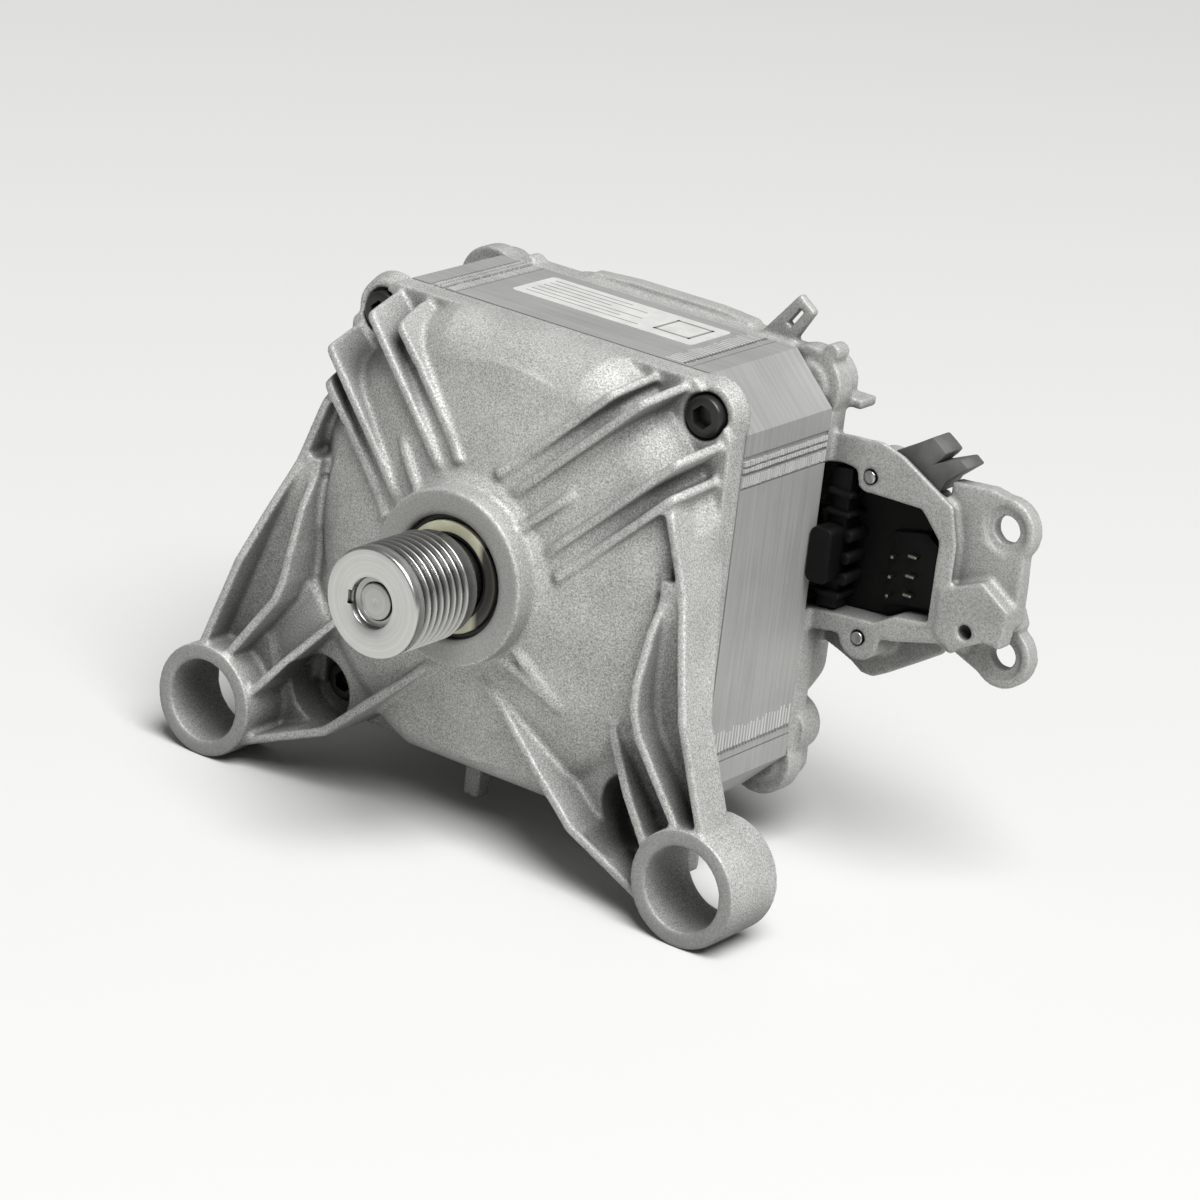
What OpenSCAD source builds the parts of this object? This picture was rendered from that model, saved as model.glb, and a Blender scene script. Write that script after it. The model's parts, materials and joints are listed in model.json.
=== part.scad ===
// Belt drive motor of a washing machine: a laminated stator clamped between two die cast shields.
// The origin is on the shaft axis at the middle of the drive pulley, +Y runs into the motor, +Z is up.
// Depths below are counted along +Y from the front face of the hub ring.

/* [Drive pulley] */
// Diameter over the groove tips
pulley_d = 26.6; // [22:0.1:32]
// Length of the pulley
pulley_len = 24; // [20:0.5:34]
// Number of belt grooves
groove_count = 7; // [4:1:8]
// Distance from groove to groove
groove_pitch = 2.34; // [1.6:0.01:2.6]
// Depth of a groove
groove_depth = 2.1; // [1:0.1:2.4]
// Plain land in front of the first groove
front_land = 3; // [1:0.1:3.4]
// Gap from the pulley's rear end to the hub face
pulley_gap = 3.65; // [2:0.05:8]
// How far the shaft end lies behind the pulley's face
nose_recess = 1.5; // [0.5:0.1:4]

/* [Shaft] */
// Diameter under the pulley
nose_d = 12; // [9:0.5:13]
// Diameter in the front bearing
journal_d = 15; // [14:0.5:16]
// Diameter under the rotor core
core_seat_d = 17; // [16.5:0.5:24]
// Diameter in the rear bearing
rear_journal_d = 12; // [10:0.5:13]
// Diameter of the stub that carries the sensing magnet
stub_d = 8; // [5:0.5:9]

/* [Bearings] */
// Outside diameter of the front bearing
front_bearing_od = 35; // [34:0.5:37]
// Width of the front bearing
front_bearing_w = 11; // [10:0.5:12]
// Pitch circle of the front balls
front_pitch_d = 25; // [24.5:0.1:26]
// Number of balls in front
front_ball_count = 8; // [6:1:8]
// Outside diameter of the rear bearing
rear_bearing_od = 32; // [30:0.5:34]
// Width of the rear bearing
rear_bearing_w = 10; // [9:0.5:11]
// Pitch circle of the rear balls
rear_pitch_d = 22; // [21.5:0.1:23]
// Number of balls at the rear
rear_ball_count = 7; // [6:1:7]
// Diameter of every ball
ball_d = 5.95; // [5:0.05:6.2]

/* [Hub] */
// Outside diameter of the hub ring
hub_d = 43.1; // [41:0.1:48]
// Opening in the hub face
hub_opening_d = 30.2; // [29:0.1:32]
// Thickness of the lip in front of the bearing
hub_lip = 4.2; // [3.6:0.1:7]
// Length of the bearing boss from the hub face
hub_len = 18; // [17.6:0.1:22]

/* [Front shield] */
// Depth of the flat front face of the shell
shell_front = 14.5; // [12:0.1:17]
// Depth of the dish where it leaves the hub
dish_root = 7.6; // [5:0.1:10]
// Radius at which the dish has become flat
dish_flat_r = 50; // [46:0.5:50]
// Rounding of the shell's front edges
shoulder_r = 14; // [8:0.5:14]
// Largest radius of the drum
drum_r = 61.5; // [60:0.5:63]
// Rounding of the drum's front edge
drum_round = 16; // [10:0.5:16]
// Wall of the casting
cast_wall = 3; // [2:0.1:3.4]
// Thickness of the cast ribs
rib_t = 2.3; // [1.6:0.1:3]

/* [Fixing eyes] */
// Distance of each eye from the middle plane
eye_x = 73.4; // [71:0.1:78]
// Height of the eyes below the shaft axis
eye_drop = 55.6; // [53:0.1:58]
// Outside diameter of an eye
eye_d = 29; // [27:0.5:34]
// Bore of an eye, for a rubber bush
eye_bore_d = 21; // [16:0.5:23]
// Length of an eye
eye_len = 19; // [16:0.5:22]
// Depth of the front face of an eye
eye_front = 3.8; // [2:0.1:5]

/* [Stator stack] */
// Half of the square side
stack_half = 56.4; // [55.5:0.1:57.5]
// How far the corners are cut back from the side
corner_cut = 11.9; // [10.5:0.1:13]
// Depth of the front face of the stack
stack_front = 34.3; // [33.5:0.1:36]
// Length of the stack
stack_len = 35.5; // [28:0.5:60]
// Bore of the stator
stator_bore_d = 63; // [60:0.5:66]
// Number of slots
slot_count = 24; // [12:12:24]
// Half width of a slot at its inner end
slot_half_in = 2.2; // [1.5:0.1:2.4]
// Half width of a slot at its outer end
slot_half_out = 3.75; // [3:0.05:4]
// Distance from the stack's side to the slot's outer end centre
slot_margin = 11.9; // [11.5:0.1:14]
// Thickness of the slot paper
liner_t = 0.35; // [0.2:0.05:0.6]
// How far the end windings stand out from the stack
overhang = 13; // [11:0.5:14]

/* [Rotor] */
// Air gap between rotor and stator
air_gap = 0.35; // [0.25:0.05:1]
// Number of cage bars
bar_count = 30; // [18:1:34]
// Diameter of a cage bar
bar_d = 3; // [2:0.1:4]
// Thickness of the cage's end rings
end_ring_t = 5; // [3:0.5:6]
// Number of fan blades on each end ring
blade_count = 10; // [5:1:12]

/* [Corner bolts] */
// Distance of a bolt from the stack's sides
bolt_inset = 8.4; // [8.2:0.1:9.4]
// Diameter of the bolt
bolt_d = 5; // [4:0.5:5]
// Diameter of the bolt head
bolt_head_d = 10; // [8:0.5:10]
// Height of the bolt head
bolt_head_h = 4; // [3:0.5:4]
// How far the head stands out of its pocket
head_stand = 1.8; // [1:0.1:2.4]
// Depth of the seat under the head
bolt_seat = 31.2; // [30.5:0.1:32]
// Radius of the round corner lobes
lobe_r = 9.45; // [8.5:0.05:10.5]

/* [Rear shield] */
// Depth of the rear shield from the stack to its back face
rear_depth = 26.2; // [25.5:0.1:32]
// Thickness of the rear flange
rear_flange = 6.7; // [5:0.1:8]
// How far the rear shell steps in from the stack
rear_step = 1.9; // [0.5:0.1:2.4]
// Gap between stack and rear flange at the cut corners
corner_gap = 0.8; // [0.4:0.1:1.2]

/* [Connector box] */
// Distance of the box's front rim behind the stack
box_set_back = 2.2; // [1:0.1:3]
// Depth of the box
box_depth = 12.5; // [12:0.5:14]
// Depth of the socket opening
socket_depth = 10; // [9:0.5:11]
// Thickness of the rim in front of the box's walls
box_rim = 3.5; // [3:0.1:4]
// Hole in the bracket's eyes
bracket_hole_d = 6.8; // [5:0.1:7.4]
// Outside radius of the bracket's eyes
bracket_eye_r = 8; // [7.2:0.1:9]

/* [Fits] */
// Radial gap between seated pieces of one body
seat_gap = 0.02; // [0.01:0.01:0.05]
// Radial gap between balls and races
ball_gap = 0.04; // [0.02:0.01:0.1]
// Gap between pieces that pass each other
free_gap = 0.3; // [0.2:0.05:0.5]

/* [Hidden] */
$fn = 96;

hub_y = pulley_len / 2 + pulley_gap;
stack_back = stack_front + stack_len;
rear_back = stack_back + rear_depth;
shell_len = stack_front - shell_front;
stack_flat = stack_half - corner_cut;
bolt_xy = stack_half - bolt_inset;
slot_end_r = stack_half - slot_margin;
rear_half = stack_half - rear_step;
flange_front = bolt_seat - bolt_head_h + head_stand;
shield_flange = bolt_seat - 3.6;
nose_tip_r = nose_d / 2 - 1.45;
nose_step = 3;
bore_r = stator_bore_d / 2;
rotor_r = bore_r - air_gap;
winding_out_r = slot_end_r + slot_half_out - 0.6;
winding_in_r = bore_r + 2.2;
winding_gap = 2;
cavity_r = stack_half - cast_wall - 0.4;
rear_cavity_r = rear_half - cast_wall + 0.5;
front_bearing_y = hub_lip;
rear_bearing_y = rear_back - rear_bearing_w - 1.4;
rear_seat_end = rear_back + 0.2;
shoulder_out = ball_d * 0.34;
tacho_hub_len = 4;
tacho_y = rear_back + tacho_hub_len;
socket_front = stack_back + box_set_back;
arm_front = socket_front + 4;
eye_h = -eye_drop;
// Half side of the stack that the outlines beside it are drawn against
drawn_half = 56.4;

// Outline of the socket opening, in X and Z
socket = [[46, 29], [60, 31.3], [64, 30.9], [65, 26.9], [66.8, 26], [82.9, 26.4], [89, 20],
    [88.9, -0.6], [79.8, -1.8], [74.3, -5], [62, -5.9], [46, -7.5]];
// Outlines of the box's rim and of the walls behind it
box_front = [[48, -12], [80, -7], [92.6, -3.6], [92.6, 20], [90.4, 28.4], [75.5, 36.6], [70, 38.2],
    [48, 36.6]];
box_back = [[48, -12], [80, -7], [92.4, -3.6], [92.4, 18], [91, 22], [83, 28.8], [68, 28.8],
    [66, 33.5], [48, 33.5]];
screw_top = [68, 30.1];
screw_low = [70.5, -10];
eye_top = [103.8, 26.2];
eye_low = [104.3, -6.6];
clip = [80, 34.3];

// Vector helpers for outlines
function unit(v) = v / norm(v);
function left_of(v) = [-v[1], v[0]];
function mitre(a, b) = let (m = left_of(unit(a + b))) m / (left_of(a) * m);
function side_dir(path, i) =
    i == 0 ? left_of(unit(path[1] - path[0]))
    : i == len(path) - 1 ? left_of(unit(path[i] - path[i - 1]))
    : mitre(unit(path[i] - path[i - 1]), unit(path[i + 1] - path[i]));
function strip(path, t) = concat(
    [for (i = [0 : len(path) - 1]) path[i] + side_dir(path, i) * t / 2],
    [for (i = [len(path) - 1 : -1 : 0]) path[i] - side_dir(path, i) * t / 2]);
function inset(loop, gap) = let (n = len(loop)) [for (i = [0 : n - 1])
    loop[i] - mitre(unit(loop[i] - loop[(i + n - 1) % n]), unit(loop[(i + 1) % n] - loop[i])) * gap];
function octagon(half, flat) = [[half, -flat], [half, flat], [flat, half], [-flat, half],
    [-half, flat], [-half, -flat], [-flat, -half], [flat, -half]];

// Moves a piece from depths behind the hub face to the part's own frame
module from_hub() translate([0, hub_y, 0]) children();
// An outline in X and Z, from depth a to depth b
module slab(a, b) translate([0, b, 0]) rotate([90, 0, 0]) linear_extrude(b - a) children();
// An outline in depth and Z, across the whole width
module across() translate([-150, 0, 0]) rotate([90, 0, 90]) linear_extrude(300) children();
// An outline in X and depth, over the whole height
module upright() translate([0, 0, -150]) linear_extrude(300) children();
// A profile of radius and depth, turned round the shaft axis
module turned() rotate([-90, 0, 0]) rotate_extrude() children();
// A rod along the depth at a place in X and Z
module rod(x, z, r, a, b) translate([x, a, z]) rotate([-90, 0, 0]) cylinder(r = r, h = b - a);
// A tube round the shaft axis
module tube(r_in, r_out, a, b) turned() translate([r_in, a]) square([r_out - r_in, b - a]);
// Keeps what is drawn beside the stack at its distance from the stack's side
module beside() translate([stack_half - drawn_half, 0, 0]) children();
// Copies on both sides of the middle plane
module both_sides() for (m = [0, 1]) mirror([m, 0, 0]) children();
// Copies at the four corner bolts
module four_corners() for (sx = [-1, 1], sz = [-1, 1]) translate([sx * bolt_xy, 0, sz * bolt_xy]) children();
// Copies turned round the shaft axis
module around(n) for (i = [0 : n - 1]) rotate([0, i * 360 / n, 0]) children();

// Side view of a shell with rounded front edges, across and depth
module shoulder_profile(half, r, len) {
    translate([-half, r]) square([2 * half, len - r]);
    translate([r - half, 0]) square([2 * (half - r), len]);
    for (s = [-1, 1]) translate([s * (half - r), r]) circle(r);
}

// Half section of a drum with a rounded front edge
module drum_profile(r_max, round_r, len) {
    square([r_max - round_r, len]);
    translate([0, round_r]) square([r_max, len - round_r]);
    translate([r_max - round_r, round_r]) circle(round_r);
}

// Outer body of a shell: a square box and a drum that share rounded edges
module shell_body(half, r, drum, drum_edge, len) intersection() {
    upright() shoulder_profile(half, r, len);
    across() mirror([1, -1]) shoulder_profile(half, r, len);
    turned() intersection() {
        drum_profile(drum, drum_edge, len);
        square([drum, len]);
    }
}

// The dish between the hub and the flat face, grown inwards by a wall
module dish(wall, back) {
    rise = shell_front - dish_root;
    run = dish_flat_r - hub_d / 2 - 2;
    dish_r = (run * run + rise * rise) / (2 * rise);
    turned() difference() {
        translate([0, wall]) square([dish_flat_r, back - wall]);
        translate([dish_flat_r, shell_front - dish_r]) circle(dish_r + wall, $fn = 180);
    }
}

// Space inside the front shield
module front_cavity() {
    translate([0, shell_front + cast_wall, 0]) turned() intersection() {
        drum_profile(cavity_r, drum_round - cast_wall, shell_len);
        square([cavity_r, shell_len]);
    }
    dish(cast_wall, stack_front);
}

// Cast wall that follows a path in X and Z, cut to a side view in depth and Z
module rib_by_height(path, side) intersection() {
    slab(0, stack_front) polygon(strip(path, rib_t));
    across() polygon(side);
}

// Cast wall that follows a path in X and Z, cut to a top view in X and depth
module rib_by_width(path, top, t) intersection() {
    slab(0, stack_front) polygon(strip(path, t));
    upright() polygon(top);
}

// Rib along an upper corner's diagonal, at a distance off it
module diagonal_rib(off, side) rotate([0, -45, 0]) translate([0, 0, off - rib_t / 2])
    linear_extrude(rib_t) polygon(side);

// The five ribs of one upper corner
module corner_ribs() {
    outer_end = bolt_xy * sqrt(2) - 2.1;
    for (s = [-1, 1]) {
        diagonal_rib(s * 8, [[20, 6.4], [22.8, 7.6], [outer_end - 1.4, 13.2], [outer_end, 14.2],
            [outer_end + 0.6, 16.4], [outer_end + 3, 26], [outer_end + 3, 29], [20, 29]]);
        diagonal_rib(s * 14, [[22, 7.4], [28.5, 10.2], [57.8, 13.3], [59.2, 14.2], [60, 16.4],
            [62.6, 25], [62.6, 30], [22, 30]]);
    }
    diagonal_rib(0, [[19, 4.8], [21.5, 5.4], [33, 9.4], [39, 14.2], [39, 17], [19, 17]]);
}

// One leg: outer plate, middle, inner and bottom rib, webs and the eye
module leg() {
    rib_by_height([[50.6, 28.6], [53, 22], [75.8, -41], [77.2, -45]],
        [[20, 36], [13.6, 27], [13.3, 10], [9, -3], [5, -17], [4.8, -46], [16, -46], [16, -18],
        [30, 12], [30, 36]]);
    rib_by_height([[52.6, 12], [52.6, -12], [53.2, -18.5], [55.2, -24], [68.8, -42.8], [70.3, -45]],
        [[15, 13], [12.8, 6], [9.5, 0], [6, -12], [5.4, -20], [5.4, -47], [16, -47], [16, -20],
        [26, -4], [26, 13]]);
    rib_by_height([[37.5, -21.5], [60.5, -50]],
        [[17, -20], [16, -22.7], [12.2, -30], [8, -40], [5.8, -50], [5.8, -52], [18, -52], [27, -36],
        [27, -20]]);
    rib_by_width([[7, -25.2], [37.8, -53.4], [62, -63.4]],
        [[5, 8.6], [14, 9], [26, 7.7], [38, 7.4], [63, 5.8], [63, 19], [44, 24], [34, 28], [5, 28]],
        rib_t);
    slab(shell_front - 1, shell_front + 1.5) polygon([[51, 12], [56.4, 12], [75.4, -41], [77, -46],
        [70, -46], [68.8, -42.8], [55.2, -24], [52.6, -12]]);
    slab(shell_front - 1, shell_front + 1.5) polygon([[62.5, -34], [70, -45], [62, -50], [58.5, -47]]);
    slab(15, 19) polygon([[52, -20], [55, -24], [62.5, -34], [58.5, -47], [60.5, -50], [50, -37],
        [44, -30]]);
    slab(18, 30) polygon([[30, -46], [44, -30], [50, -37], [61, -50], [61, -62], [46, -57.5], [37, -53]]);
    rod(eye_x, eye_h, eye_d / 2, eye_front, eye_front + eye_len);
}

// Two short ribs that run together below the hub
module gate_ribs() {
    rib_by_width([[12, -16.4], [28.6, -27.8]],
        [[10, 4.9], [13.6, 5.4], [18, 7.7], [24, 10.7], [29.5, 13.4], [29.5, 16], [10, 16]], 2);
    rib_by_width([[17.6, -14.8], [24.2, -22.8], [28.9, -26.8]],
        [[10, 4.9], [18.3, 6.3], [24.2, 10.4], [29.5, 13.4], [29.5, 16], [10, 16]], 2);
}

// Front casting with legs, eyes, ribs and the bearing hub
module front_shield() color("silver") from_hub() difference() {
    union() {
        difference() {
            union() {
                translate([0, shell_front, 0])
                    shell_body(stack_half, shoulder_r, drum_r, drum_round, shell_len);
                dish(0, stack_front - 1);
                slab(shield_flange, stack_front) polygon(octagon(stack_half, stack_flat));
                both_sides() {
                    corner_ribs();
                    leg();
                }
                gate_ribs();
                four_corners() translate([0, flange_front, 0]) rotate([-90, 0, 0])
                    cylinder(r1 = lobe_r - 1.75, r2 = lobe_r, h = stack_front - flange_front);
                translate([-9.7, stack_front - 5, -66]) cube([4.8, 5, 12]);
            }
            front_cavity();
        }
        tube(hub_opening_d / 2 - 0.1, hub_d / 2, 0, hub_len);
    }
    rod(0, 0, hub_opening_d / 2, -1, hub_len + 1);
    translate([0, -0.01, 0]) rotate([-90, 0, 0])
        cylinder(r1 = hub_opening_d / 2 + 0.6, r2 = hub_opening_d / 2, h = 0.6);
    rod(0, 0, front_bearing_od / 2 + seat_gap, front_bearing_y, hub_len + 1);
    tube(1, front_bearing_od / 2 + 0.9, front_bearing_y + front_bearing_w + 0.1,
        front_bearing_y + front_bearing_w + 1.5);
    four_corners() {
        rod(0, 0, bolt_head_d / 2 + 0.7, flange_front - 12, bolt_seat);
        rod(0, 0, bolt_d / 2 + 0.25, bolt_seat - 1, stack_front + 1);
    }
    both_sides() {
        rod(bolt_xy, -bolt_xy, lobe_r - 0.4, flange_front - 20, flange_front);
        rod(eye_x, eye_h, eye_bore_d / 2, eye_front - 1, eye_front + eye_len + 1);
    }
}

// Rear casting with the rear bearing hub, the connector box and its bracket
module rear_shield() color("silver") from_hub() difference() {
    union() {
        difference() {
            union() {
                translate([0, rear_back, 0]) mirror([0, 1, 0])
                    shell_body(rear_half, shoulder_r, drum_r, drum_round, rear_depth);
                slab(stack_back, stack_back + corner_gap)
                    polygon(octagon(stack_half, stack_flat - 2.4));
                slab(stack_back + corner_gap, stack_back + rear_flange)
                    polygon(octagon(stack_half, stack_flat));
                four_corners() {
                    rod(0, 0, bolt_d / 2 + 3, stack_back, stack_back + 1);
                    rod(0, 0, lobe_r, stack_back + corner_gap, stack_back + rear_flange);
                    rod(0, 0, lobe_r - 1.6, stack_back + rear_flange - 1, stack_back + rear_flange + 5);
                }
                rear_face_ribs();
                rear_lugs();
                beside() {
                    box_walls();
                    bracket();
                }
            }
            translate([0, rear_back - cast_wall, 0]) mirror([0, 1, 0]) turned() intersection() {
                drum_profile(rear_cavity_r, drum_round - cast_wall, rear_depth);
                square([rear_cavity_r, rear_depth]);
            }
            beside() slab(socket_front - 8, socket_front + socket_depth) polygon(socket);
        }
        rod(0, 0, rear_bearing_od / 2 + 4, rear_bearing_y - 2, tacho_y);
        both_sides() rod(27, 0, 4, rear_back - 2, tacho_y);
    }
    rod(0, 0, rear_bearing_od / 2 + seat_gap, rear_bearing_y - 3, rear_seat_end);
    rod(0, 0, rear_bearing_od / 2 - 3.5, rear_seat_end - 1, tacho_y + 1);
    four_corners() rod(0, 0, bolt_d / 2 + seat_gap, stack_back - 1, stack_back + rear_flange + 3.5);
    both_sides() rod(27, 0, 1.5 + seat_gap, tacho_y - 5, tacho_y + 1);
    beside() {
        for (p = [screw_top, screw_low])
            rod(p[0], p[1], 1.9, socket_front - 1, socket_front + box_depth + 1);
        bracket_holes();
    }
}

// Radial ribs on the back of the rear casting
module rear_face_ribs() around(8) translate([0, 0, -rib_t / 2]) linear_extrude(rib_t)
    polygon([[18, rear_back - 2], [18, rear_back + 3], [44, rear_back + 1.2], [48, rear_back - 3]]);

// Lugs and bumps on the edge of the rear casting
module rear_lugs() {
    slab(stack_back + 2, stack_back + 4.6) difference() {
        polygon([[32, 56.4], [38.9, 51.6], [46.8, 65.1], [42, 68.5]]);
        translate([41.6, 62.6]) rotate(-35) square([1.4, 5.4], center = true);
    }
    slab(stack_back + 4, stack_back + 9)
        polygon([[-24, 50], [-20, 57.6], [-8, 58.4], [18, 58.4], [28, 57.6], [36, 50]]);
    rod(53.5, 57.2, 2.2, stack_back + 1, stack_back + 6);
    rod(-37, 55.6, 2.4, stack_back + 1, stack_back + 6);
    rod(51.2, -39.2, 7.5, stack_back + 3, stack_back + 11);
    translate([50, stack_back + 7, 43.6]) cube([10, 7, 2.4]);
}

// Walls of the connector box behind a wider rim with an eased front edge
module box_walls() {
    slab(socket_front, socket_front + 1.3) polygon(inset(box_front, 1.1));
    slab(socket_front + 1.2, socket_front + box_rim) polygon(box_front);
    slab(socket_front, socket_front + box_rim) translate(screw_top) circle(7.6);
    slab(socket_front + box_rim - 0.5, socket_front + box_depth) {
        polygon(box_back);
        translate(screw_top) circle(5.6);
    }
    slab(socket_front, socket_front + box_depth) translate(screw_low) circle(5.6);
    slab(socket_front + socket_depth, socket_front + box_depth)
        polygon([[48, -15], [60.1, -19.1], [64, -20.7], [66.9, -22.6], [70.1, -22.7], [73.9, -20.6],
            [81.8, -15.5], [88.3, -11.2], [90, 0], [48, 0]]);
}

// Arm with two eyes that carries the connector box's side
module bracket() {
    slab(arm_front, arm_front + 4.5) {
        polygon([[88, 34], [98.5, 35], [107, 33.4], [110, 20], [110.3, 4], [100, 0], [94, -8], [88, -6]]);
        translate(eye_top) circle(bracket_eye_r);
    }
    slab(arm_front + 3, arm_front + 10.5)
        polygon([[88, 6], [107, 6], [109, 1.5], [98, 0], [94, -8], [88, -6]]);
    slab(arm_front + 6, arm_front + 10.5) {
        translate(eye_low) circle(bracket_eye_r);
        polygon([[88, 4], [107, 4], [104.3, -14.6], [88, -8]]);
    }
    slab(arm_front - 4.5, arm_front + 1)
        polygon([[91, -2], [91.2, 8.8], [102.2, 13.8], [110.4, 8.4], [109.4, -1], [104.6, -0.6], [96, -5.5]]);
}

// Holes of the bracket's eyes, with a recessed ring in front, and the blind hole of its block
module bracket_holes() {
    for (p = [[eye_top, arm_front], [eye_low, arm_front + 6]]) {
        rod(p[0][0], p[0][1], bracket_hole_d / 2, socket_front - 8, arm_front + 12);
        rod(p[0][0], p[0][1], bracket_hole_d / 2 + 2.3, p[1] - 1, p[1] + 1);
    }
    rod(99.5, 0.4, 1.9, socket_front - 2, socket_front + 7);
}

// Outline of one slot with a round outer end, shrunk on all sides by a gap
module slot_outline(gap) {
    inner = bore_r + 1.6 + gap;
    round_end = [for (a = [90 : -22.5 : -90]) [slot_end_r, 0] + (slot_half_out - gap) * [cos(a), sin(a)]];
    polygon(concat([[inner, gap - slot_half_in], [inner, slot_half_in - gap]], round_end));
}

// Laminated stator stack
module stator_core() color("darkgray") from_hub() difference() {
    slab(stack_front, stack_back) difference() {
        polygon(octagon(stack_half, stack_flat));
        circle(bore_r);
        for (i = [0 : slot_count - 1]) rotate((i + 0.5) * 360 / slot_count) {
            slot_outline(0);
            translate([bore_r - 1, -1.1]) square([3.2, 2.2]);
        }
        for (q = [0 : 3]) rotate(q * 90) {
            translate([stack_half - 0.5, stack_flat - 6.7]) square([1, 1.3]);
            translate([stack_half - 0.3, stack_flat - 8.4]) square([1, 0.7]);
            translate([stack_half - 0.5, stack_flat - 10.2]) square([1, 0.9]);
            translate([stack_half - 0.3, stack_flat - 13.6]) square([1, 0.4]);
            translate([stack_half - 0.3, 5.7 - stack_flat]) square([1, 0.4]);
        }
    }
    four_corners() rod(0, 0, bolt_d / 2 + 0.25, stack_front - 1, stack_back + 1);
}

// Paper that lines every slot
module slot_liners() color("ivory") from_hub() slab(stack_front - 1.5, stack_back + 1.5)
    for (i = [0 : slot_count - 1]) rotate((i + 0.5) * 360 / slot_count) difference() {
        slot_outline(0.06);
        slot_outline(0.06 + liner_t);
    }

// Copper in the slots and the bundled end windings
module stator_windings() color("peru") from_hub() {
    slab(stack_front - winding_gap - 1, stack_back + winding_gap + 1)
        for (i = [0 : slot_count - 1]) rotate((i + 0.5) * 360 / slot_count)
            slot_outline(0.12 + liner_t);
    end_bundle(stack_front - overhang, stack_front - winding_gap);
    end_bundle(stack_back + winding_gap, stack_back + overhang);
}

// One end winding ring with rounded edges
module end_bundle(a, b) turned() {
    edge = 4;
    translate([winding_in_r, a + edge]) square([winding_out_r - winding_in_r, b - a - 2 * edge]);
    translate([winding_in_r + edge, a]) square([winding_out_r - winding_in_r - 2 * edge, b - a]);
    for (r = [winding_in_r + edge, winding_out_r - edge], y = [a + edge, b - edge])
        translate([r, y]) circle(edge);
}

// Leads from the rear end winding to the terminal housing
module phase_leads() color("black") from_hub() for (z = [18, 12, 6, 0, -4]) {
    start = sqrt(winding_out_r * winding_out_r - z * z) + 0.3;
    translate([start, stack_back + overhang / 2 + 1, z]) rotate([0, 90, 0])
        cylinder(r = 0.9, h = stack_half + 0.6 - start);
}

// Thermal cut-out tied onto the rear end winding
module thermal_cutout() color("dimgray") from_hub()
    translate([-6, stack_back + 5, winding_out_r + 0.05]) cube([12, 6, 2.6]);

// Corner bolts with hexagon sockets
module corner_bolts() color("black") from_hub() four_corners() difference() {
    union() {
        rod(0, 0, bolt_head_d / 2, bolt_seat - bolt_head_h, bolt_seat);
        rod(0, 0, bolt_d / 2, bolt_seat - 1, stack_back + rear_flange + 3);
    }
    translate([0, bolt_seat - bolt_head_h - 1, 0]) rotate([-90, 0, 0])
        cylinder(d = bolt_head_d * 0.5 / cos(30), h = 3.4, $fn = 6);
}

// Outer ring of a ball bearing, starting at a depth
module outer_race(y, w, od, pitch) turned() difference() {
    translate([pitch / 2 + shoulder_out, y]) square([od / 2 - pitch / 2 - shoulder_out, w]);
    translate([pitch / 2, y + w / 2]) circle(ball_d / 2 + ball_gap);
}

// Inner ring of a ball bearing, starting at a depth
module inner_race(y, w, bore, pitch) turned() difference() {
    translate([bore / 2 + seat_gap, y]) square([pitch / 2 - shoulder_out - bore / 2 - seat_gap, w]);
    translate([pitch / 2, y + w / 2]) circle(ball_d / 2 + ball_gap);
}

// Balls of a bearing
module balls(y, w, pitch, n) around(n) translate([pitch / 2, y + w / 2, 0]) sphere(ball_d / 2);

// Ball cage: a ring with a round pocket for each ball
module cage(y, w, pitch, n) difference() {
    tube(pitch / 2 - 0.5, pitch / 2 + 0.5, y + w / 2 - ball_d / 2 - 0.8, y + w / 2 + ball_d / 2 + 0.8);
    around(n) translate([pitch / 2 - 2, y + w / 2, 0]) rotate([0, 90, 0])
        cylinder(r = ball_d / 2 + 0.12, h = 4);
}

// Seals on both faces of a bearing
module seals(y, w, pitch) for (s = [y + 0.2, y + w - 1])
    tube(pitch / 2 - shoulder_out + free_gap, pitch / 2 + shoulder_out - seat_gap, s, s + 0.8);

module front_outer_race() color("lightgray") from_hub()
    outer_race(front_bearing_y, front_bearing_w, front_bearing_od, front_pitch_d);
module front_inner_race() color("lightgray") from_hub()
    inner_race(front_bearing_y, front_bearing_w, journal_d, front_pitch_d);
module front_balls() color("gainsboro") from_hub()
    balls(front_bearing_y, front_bearing_w, front_pitch_d, front_ball_count);
module front_cage() color("goldenrod") from_hub()
    cage(front_bearing_y, front_bearing_w, front_pitch_d, front_ball_count);
module front_bearing_seals() color("black") from_hub()
    seals(front_bearing_y, front_bearing_w, front_pitch_d);
module rear_outer_race() color("lightgray") from_hub()
    outer_race(rear_bearing_y, rear_bearing_w, rear_bearing_od, rear_pitch_d);
module rear_inner_race() color("lightgray") from_hub()
    inner_race(rear_bearing_y, rear_bearing_w, rear_journal_d, rear_pitch_d);
module rear_balls() color("gainsboro") from_hub()
    balls(rear_bearing_y, rear_bearing_w, rear_pitch_d, rear_ball_count);
module rear_cage() color("goldenrod") from_hub()
    cage(rear_bearing_y, rear_bearing_w, rear_pitch_d, rear_ball_count);
module rear_bearing_seals() color("black") from_hub()
    seals(rear_bearing_y, rear_bearing_w, rear_pitch_d);

// Spring ring that holds the front bearing in its seat
module bearing_circlip() color("dimgray") from_hub() {
    y = front_bearing_y + front_bearing_w + 0.2;
    difference() {
        tube(front_bearing_od / 2 - 2.2, front_bearing_od / 2 + 0.8, y, y + 1.2);
        slab(y - 1, y + 2) polygon([[0, 0], [-4, -30], [4, -30]]);
    }
}

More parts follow.
